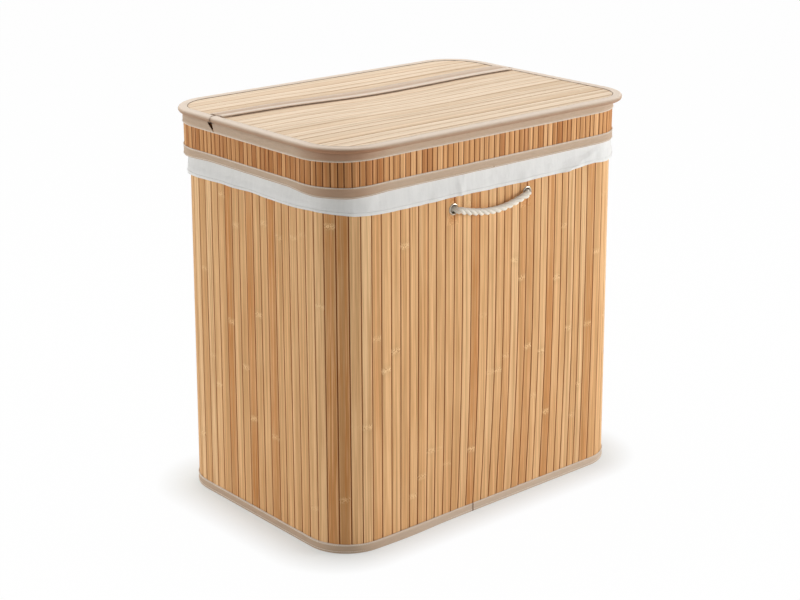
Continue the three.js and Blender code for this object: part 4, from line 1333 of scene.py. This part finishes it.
class HAMPER_OT_lid(bpy.types.Operator):
    """Makes the lid's top: the fixed rear panel and the flap, with their laths, boards, rims and hinge tape"""
    bl_idname = "hamper.lid"
    bl_label = "Lid top"

    def execute(self, context):
        flap_back = high("flap_rim_tape", "y") - 4.2
        large = RIM.radii[0]
        flap_path = Outline(*RIM.sides[:3], flap_back, [large, FLAP_CORNER, FLAP_CORNER, large])
        within = 0.85
        core = RIM.grown(-within)
        for name, body, front, joints, back, seed in (
            ("flap", "flap", core.sides[2], FLAP_JOINTS, flap_back - within, 51),
            ("rear", "lid", low("rear_slat_mat", "y"), REAR_JOINTS, core.sides[3], 52),
        ):
            self.panel(name, core, np.array((front, *joints, back)), body, seed)
            self.board(name, core, front, back, body)
        self.rims(flap_path)
        self.edging(flap_path)
        self.hinge()
        return {"FINISHED"}

    @staticmethod
    def panel(name, core, joints, body, seed):
        """Laths side by side across the lid, cut at their ends along its rounded edge"""
        top, front, back = high("flap_slat_mat", "z"), joints[0], joints[-1]
        thickness = 1.8
        mat = lath_strip(f"{name}_laths", len(joints) - 1, thickness, 0.06, 24)

        def place(along, out, share):
            return laid((share * 2 - 1) * core.half_width(along), along, top + out)

        def beneath(along, share):
            y = front + share * (back - front)
            return laid((along * 2 - 1) * core.half_width(y), y, top - thickness - 0.02)

        lay_laths(mat, lambda number, share: joints[number], 1.4, place, seed, (-260, 260))
        dress(mat, "lid laths", body, [f"{name}_slat_mat"])
        backing = sheet(f"{name}_laths_backing", 0, 1, 60, 24, beneath, back - front, 0.0004, centre=(0, 0, -1))
        dress(backing, "lid backing", body)

    @staticmethod
    def board(name, core, front, back, body):
        """Fibreboard cut to the lid's plan, with its edges eased"""
        foot, top = low("flap_board", "z"), high("flap_board", "z")
        start_clean()
        bpy.ops.mesh.primitive_grid_add(x_subdivisions=60, y_subdivisions=24, size=1)
        piece = named(f"{name}_board_panel")
        flat = points_of(piece)
        y = front + (flat[:, 1] + 0.5) * (back - front)
        move_points(piece, laid(flat[:, 0] * 2 * core.half_width(y), y, top) * MM)
        apply_modifier(piece, "SOLIDIFY", thickness=(top - foot) * MM, offset=-1.0)
        apply_modifier(piece, "BEVEL", width=0.0004, segments=2, limit_method="ANGLE", angle_limit=math.radians(50))
        smooth(piece, 35)
        dress(piece, "board", body, [f"{name}_board"])

    @staticmethod
    def rims(flap_path):
        """The bead of tape round each panel"""
        foot, top = low("flap_rim_tape", "z"), high("flap_rim_tape", "z")
        centre, radius = (foot + top) / 2, (top - foot) / 2
        angles = [math.radians(a) for a in range(75, -76, -15)]
        profile = finer(
            [(-9.8, top - 0.9), (-9.0, top - 0.35), (-6.0, top - 0.25), (-2.0, top - 0.05)]
            + [(radius * math.cos(a), centre + radius * math.sin(a)) for a in angles]
            + [(-2.0, foot), (-9.0, foot + 0.05)], 3.0,
        )
        pucker = RIM.rule(np.random.default_rng(61).uniform(-1, 1, 420))
        square = SPLIT + 0.5
        right, left = RIM.walked_to("right", square), RIM.walked_to("left", square)
        for name, body, path, start, end in (
            ("rear", "lid", RIM, right, left), ("flap", "flap", flap_path, None, None),
        ):
            bead = band(
                f"{name}_rim_binding", path, profile, 0.0009, step=5.0, start=start, end=end,
                ripple=lambda along, share: (0.22 * pucker(along) * (share > 0.25), 0.1 * pucker(along)),
            )
            points = points_of(bead) / MM
            if name == "rear":
                reach = FLAP_CORNER + np.sqrt(np.clip(radius ** 2 - (points[:, 2] - centre) ** 2, 0, None))
                beyond = np.clip(np.abs(points[:, 0]) - (RIM.sides[1] - FLAP_CORNER), 0, reach)
                curved = flap_path.sides[3] - FLAP_CORNER + np.sqrt(reach ** 2 - beyond ** 2) + 2.2
                near = np.clip(1 - (points[:, 1] - square) / 24, 0, 1)
                points[:, 1] += (curved - square) * near * np.clip((np.abs(points[:, 0]) - 286) / 6, 0, 1)
                move_points(bead, points * MM)
            # Painted highlight over the bead's top, and painted shade under it
            crest(bead, lambda x, y, z: (z - centre) / radius * 1.6 - 0.45)
            move_points(bead, laid(*points.T) * MM)
            finish_tape(bead, body, f"{name}_rim_tape")

    @staticmethod
    def edging(flap_path):
        """A thin dark line of painted shade and the stitches on the inside of each panel's bead"""
        top = high("flap_rim_tape", "z")
        shade_line_out, sewn = -10.1, -8.2
        (right, left), (front_right, front_left), (sewn_right, sewn_left) = (
            (RIM.walked_to("right", y), RIM.walked_to("left", y)) for y in (SPLIT + 0.5, SPLIT - 24, SPLIT - 22)
        )
        for name, body, path, start, end in (
            ("rear", "lid", RIM, right + 12, left - 12),
            ("flap", "flap", flap_path, front_left - RIM.length + flap_path.length, front_right + flap_path.length),
        ):
            # A thin dark line of painted shade along the inner edge of the bead
            line, _ = ring_line(path, shade_line_out, top - 1.15, start=start, end=end)
            seam(f"{name}_rim_piping", laid(*line.T), 0.4, body)
        for name, body, start, end in (
            ("rear", "lid", right + 6, left - 6), ("flap", "flap", sewn_left, sewn_right + RIM.length),
        ):
            line, _ = ring_line(RIM, sewn, top - 0.3, start=start, end=end)
            stitches(f"{name}_rim_stitches", laid(*line.T), UP, body)

    @staticmethod
    def hinge():
        """The tape sewn over the hinge"""
        top = high("flap_rim_tape", "z")
        rear = high("hinge_tape", "y")
        half = RIM.sides[1] - 11.0
        split_at = 18.7
        edge = SPLIT - split_at
        # The tape's section, by the distance from its front edge: it dips over the split
        steps = (0, 1.2, 4, 9, 13, 17, split_at, 20.2, 23, 30, 36, 38.5)
        heights = (0.3, 0.9, 1.5, 1.4, 0.9, 0.4, -0.2, 0.4, 0.6, 0.3, -0.3, -0.7)

        def place(along, share):
            x = -half + along
            back = rear - 1.6 + 0.018 * x
            return laid(x, edge + share * (back - edge), top + 0.35 + np.interp(share * steps[-1], steps, heights))

        # Painted highlight behind the tape's front edge, and a fainter one on its rear part
        def painted_highlight(x, y, z):
            return np.interp(y + DRIFT * x - edge, [0, 1.5, 9, 13, 22, 26], [0, 1, 1, 0.1, 0.1, 0.4])

        width = rear - edge
        strip = sheet(
            "hinge_binding", 0, 2 * half, 130, 30, place, width, size("tape") * MM, centre=(0, 0, -1), angle=60
        )
        crest(strip, painted_highlight)
        dress(strip, "tape", None, ["hinge_tape"])
        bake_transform(strip)
        # A thin dark line of painted shade under the tape's front edge
        lip = place(np.linspace(16, 2 * half - 6, 120), 0.0)
        seam("hinge_piping", lip - (0.0, 0.3, 1.1), 0.28, "flap")
        along = np.linspace(2, 2 * half - 2, 150)
        stitches("hinge_stitches_rear", place(along, np.full(150, 0.92)), UP, "lid")
        stitches("hinge_stitches_flap", place(along, np.full(150, 0.07)), UP, "flap")


# Stage

class HAMPER_OT_stage(bpy.types.Operator):
    """Sets the camera at the photograph's place, a pale floor, and soft studio light"""
    bl_idname = "hamper.stage"
    bl_label = "Stage"

    def execute(self, context):
        scene = context.scene
        self.camera(scene)
        self.floor()
        self.world(scene)
        for name, place, across, power in (
            ("key", (2.2, -2.1, 0.75), 1.3, 51.5),
            ("side", (-2.5, 1.9, 0.7), 1.3, 32.5),
            ("corner", (-1.7, -2.3, 0.9), 1.3, 6.5),
            ("top", (0.1, 0.6, 2.9), 1.8, 46.0),
        ):
            self.lamp(scene, name, place, across, power)
        scene.view_settings.view_transform = "Standard"
        return {"FINISHED"}

    @staticmethod
    def camera(scene):
        data = bpy.data.cameras.new("photo_camera")
        data.lens = 75.855
        data.sensor_width = 36.0
        data.clip_end = 50.0
        camera = bpy.data.objects.new("photo_camera", data)
        right, up, back = (0.75697, -0.65345, -0.00077), (0.20954, 0.24163, 0.94747), (-0.61894, -0.71737, 0.31983)
        turn = Matrix((right, up, back)).transposed()
        camera.matrix_world = Matrix.Translation((-1.64750, -1.90101, 1.13050)) @ turn.to_4x4()
        scene.collection.objects.link(camera)
        scene.camera = camera

    @staticmethod
    def floor():
        """A pale floor that looks white away from the hamper and keeps its shadow, with painted shade round its foot"""
        start_clean()
        bpy.ops.mesh.primitive_plane_add(size=14, location=(0, 0, 0))
        floor = named("studio_floor")
        n = fresh("studio_floor")
        shader = n.tree.nodes["Principled BSDF"]
        shader.inputs["Base Color"].default_value = full(tone(240, 245, 243))
        shader.inputs["Roughness"].default_value = 0.9
        glow = n.put("ShaderNodeEmission", {"Color": (1, 1, 1, 1), "Strength": 1.0})[0]
        place = n.place()
        # Round the hamper's outline, moved a little to the left, the glow gives way to the lit floor: painted shade
        # round the foot, on top of its real shadow
        for operation, other in (
            ("ADD", (0.008, 0.0, 0.0)), ("ABSOLUTE", (0.0, 0.0, 0.0)), ("SUBTRACT", (0.234, 0.13, 0.0)),
            ("MAXIMUM", (0.0, 0.0, 0.0)),
        ):
            place = n.put("ShaderNodeVectorMath", {0: place, 1: other}, operation=operation)["Vector"]
        away = n.put("ShaderNodeVectorMath", {0: place}, operation="LENGTH")["Value"]
        share = n.math("MULTIPLY", n.seen(), n.spread(away, 0.06, 0.126, 0.32, 0.985))
        both = n.put("ShaderNodeMixShader", {0: share, 1: shader.outputs[0], 2: glow})[0]
        n.tree.links.new(both, n.tree.nodes["Material Output"].inputs["Surface"])
        floor.data.materials.append(n.owner)

    @staticmethod
    def world(scene):
        """Soft light all round, seen as plain white"""
        scene.world = bpy.data.worlds.new("studio")
        n = Nodes(scene.world)
        soft = n.tree.nodes["Background"]
        soft.inputs["Color"].default_value = (1.0, 0.99, 0.975, 1.0)
        soft.inputs["Strength"].default_value = 0.24
        white = n.put("ShaderNodeBackground", {"Color": (1, 1, 1, 1), "Strength": 1.0})[0]
        both = n.put("ShaderNodeMixShader", {0: n.seen(), 1: soft.outputs[0], 2: white})[0]
        n.tree.links.new(both, n.tree.nodes["World Output"].inputs["Surface"])

    @staticmethod
    def lamp(scene, name, place, across, power):
        """A round lamp that shines on the hamper's middle"""
        data = bpy.data.lights.new(name, "AREA")
        data.shape = "DISK"
        data.size = across
        data.energy = power
        lamp = bpy.data.objects.new(name, data)
        lamp.location = place
        lamp.rotation_euler = (Vector((0, 0, 0.3)) - Vector(place)).to_track_quat("-Z", "Y").to_euler()
        scene.collection.objects.link(lamp)


class HAMPER_PT_panel(bpy.types.Panel):
    """Lists the hamper's sizes, colours and pieces"""
    bl_idname = "HAMPER_PT_panel"
    bl_label = "Laundry hamper"
    bl_space_type = "VIEW_3D"
    bl_region_type = "UI"
    bl_category = "Hamper"

    def draw(self, context):
        column = self.layout.column()
        for group in (context.scene.hamper_sizes, context.scene.hamper_colours):
            for name in group.bl_rna.properties.keys():
                if name not in ("rna_type", "name"):
                    column.prop(group, name)
        for operator in PIECES:
            column.operator(operator.bl_idname)


PIECES = (
    HAMPER_OT_stage,
    HAMPER_OT_handles,
    HAMPER_OT_wall,
    HAMPER_OT_hems,
    HAMPER_OT_cuff,
    HAMPER_OT_bins,
    HAMPER_OT_skirt,
    HAMPER_OT_lid,
)
CLASSES = (HamperSizes, HamperColours, *PIECES, HAMPER_PT_panel)


def register():
    for each in CLASSES:
        bpy.utils.register_class(each)
    bpy.types.Scene.hamper_sizes = bpy.props.PointerProperty(type=HamperSizes)
    bpy.types.Scene.hamper_colours = bpy.props.PointerProperty(type=HamperColours)


def unregister():
    del bpy.types.Scene.hamper_colours
    del bpy.types.Scene.hamper_sizes
    for each in reversed(CLASSES):
        bpy.utils.unregister_class(each)


def main():
    register()
    bpy.ops.hamper.stage()
    bpy.ops.hamper.handles()
    bpy.ops.hamper.wall()
    bpy.ops.hamper.hems()
    bpy.ops.hamper.cuff()
    bpy.ops.hamper.bins()
    bpy.ops.hamper.skirt()
    bpy.ops.hamper.lid()
    start_clean()


if __name__ == "__main__":
    main()
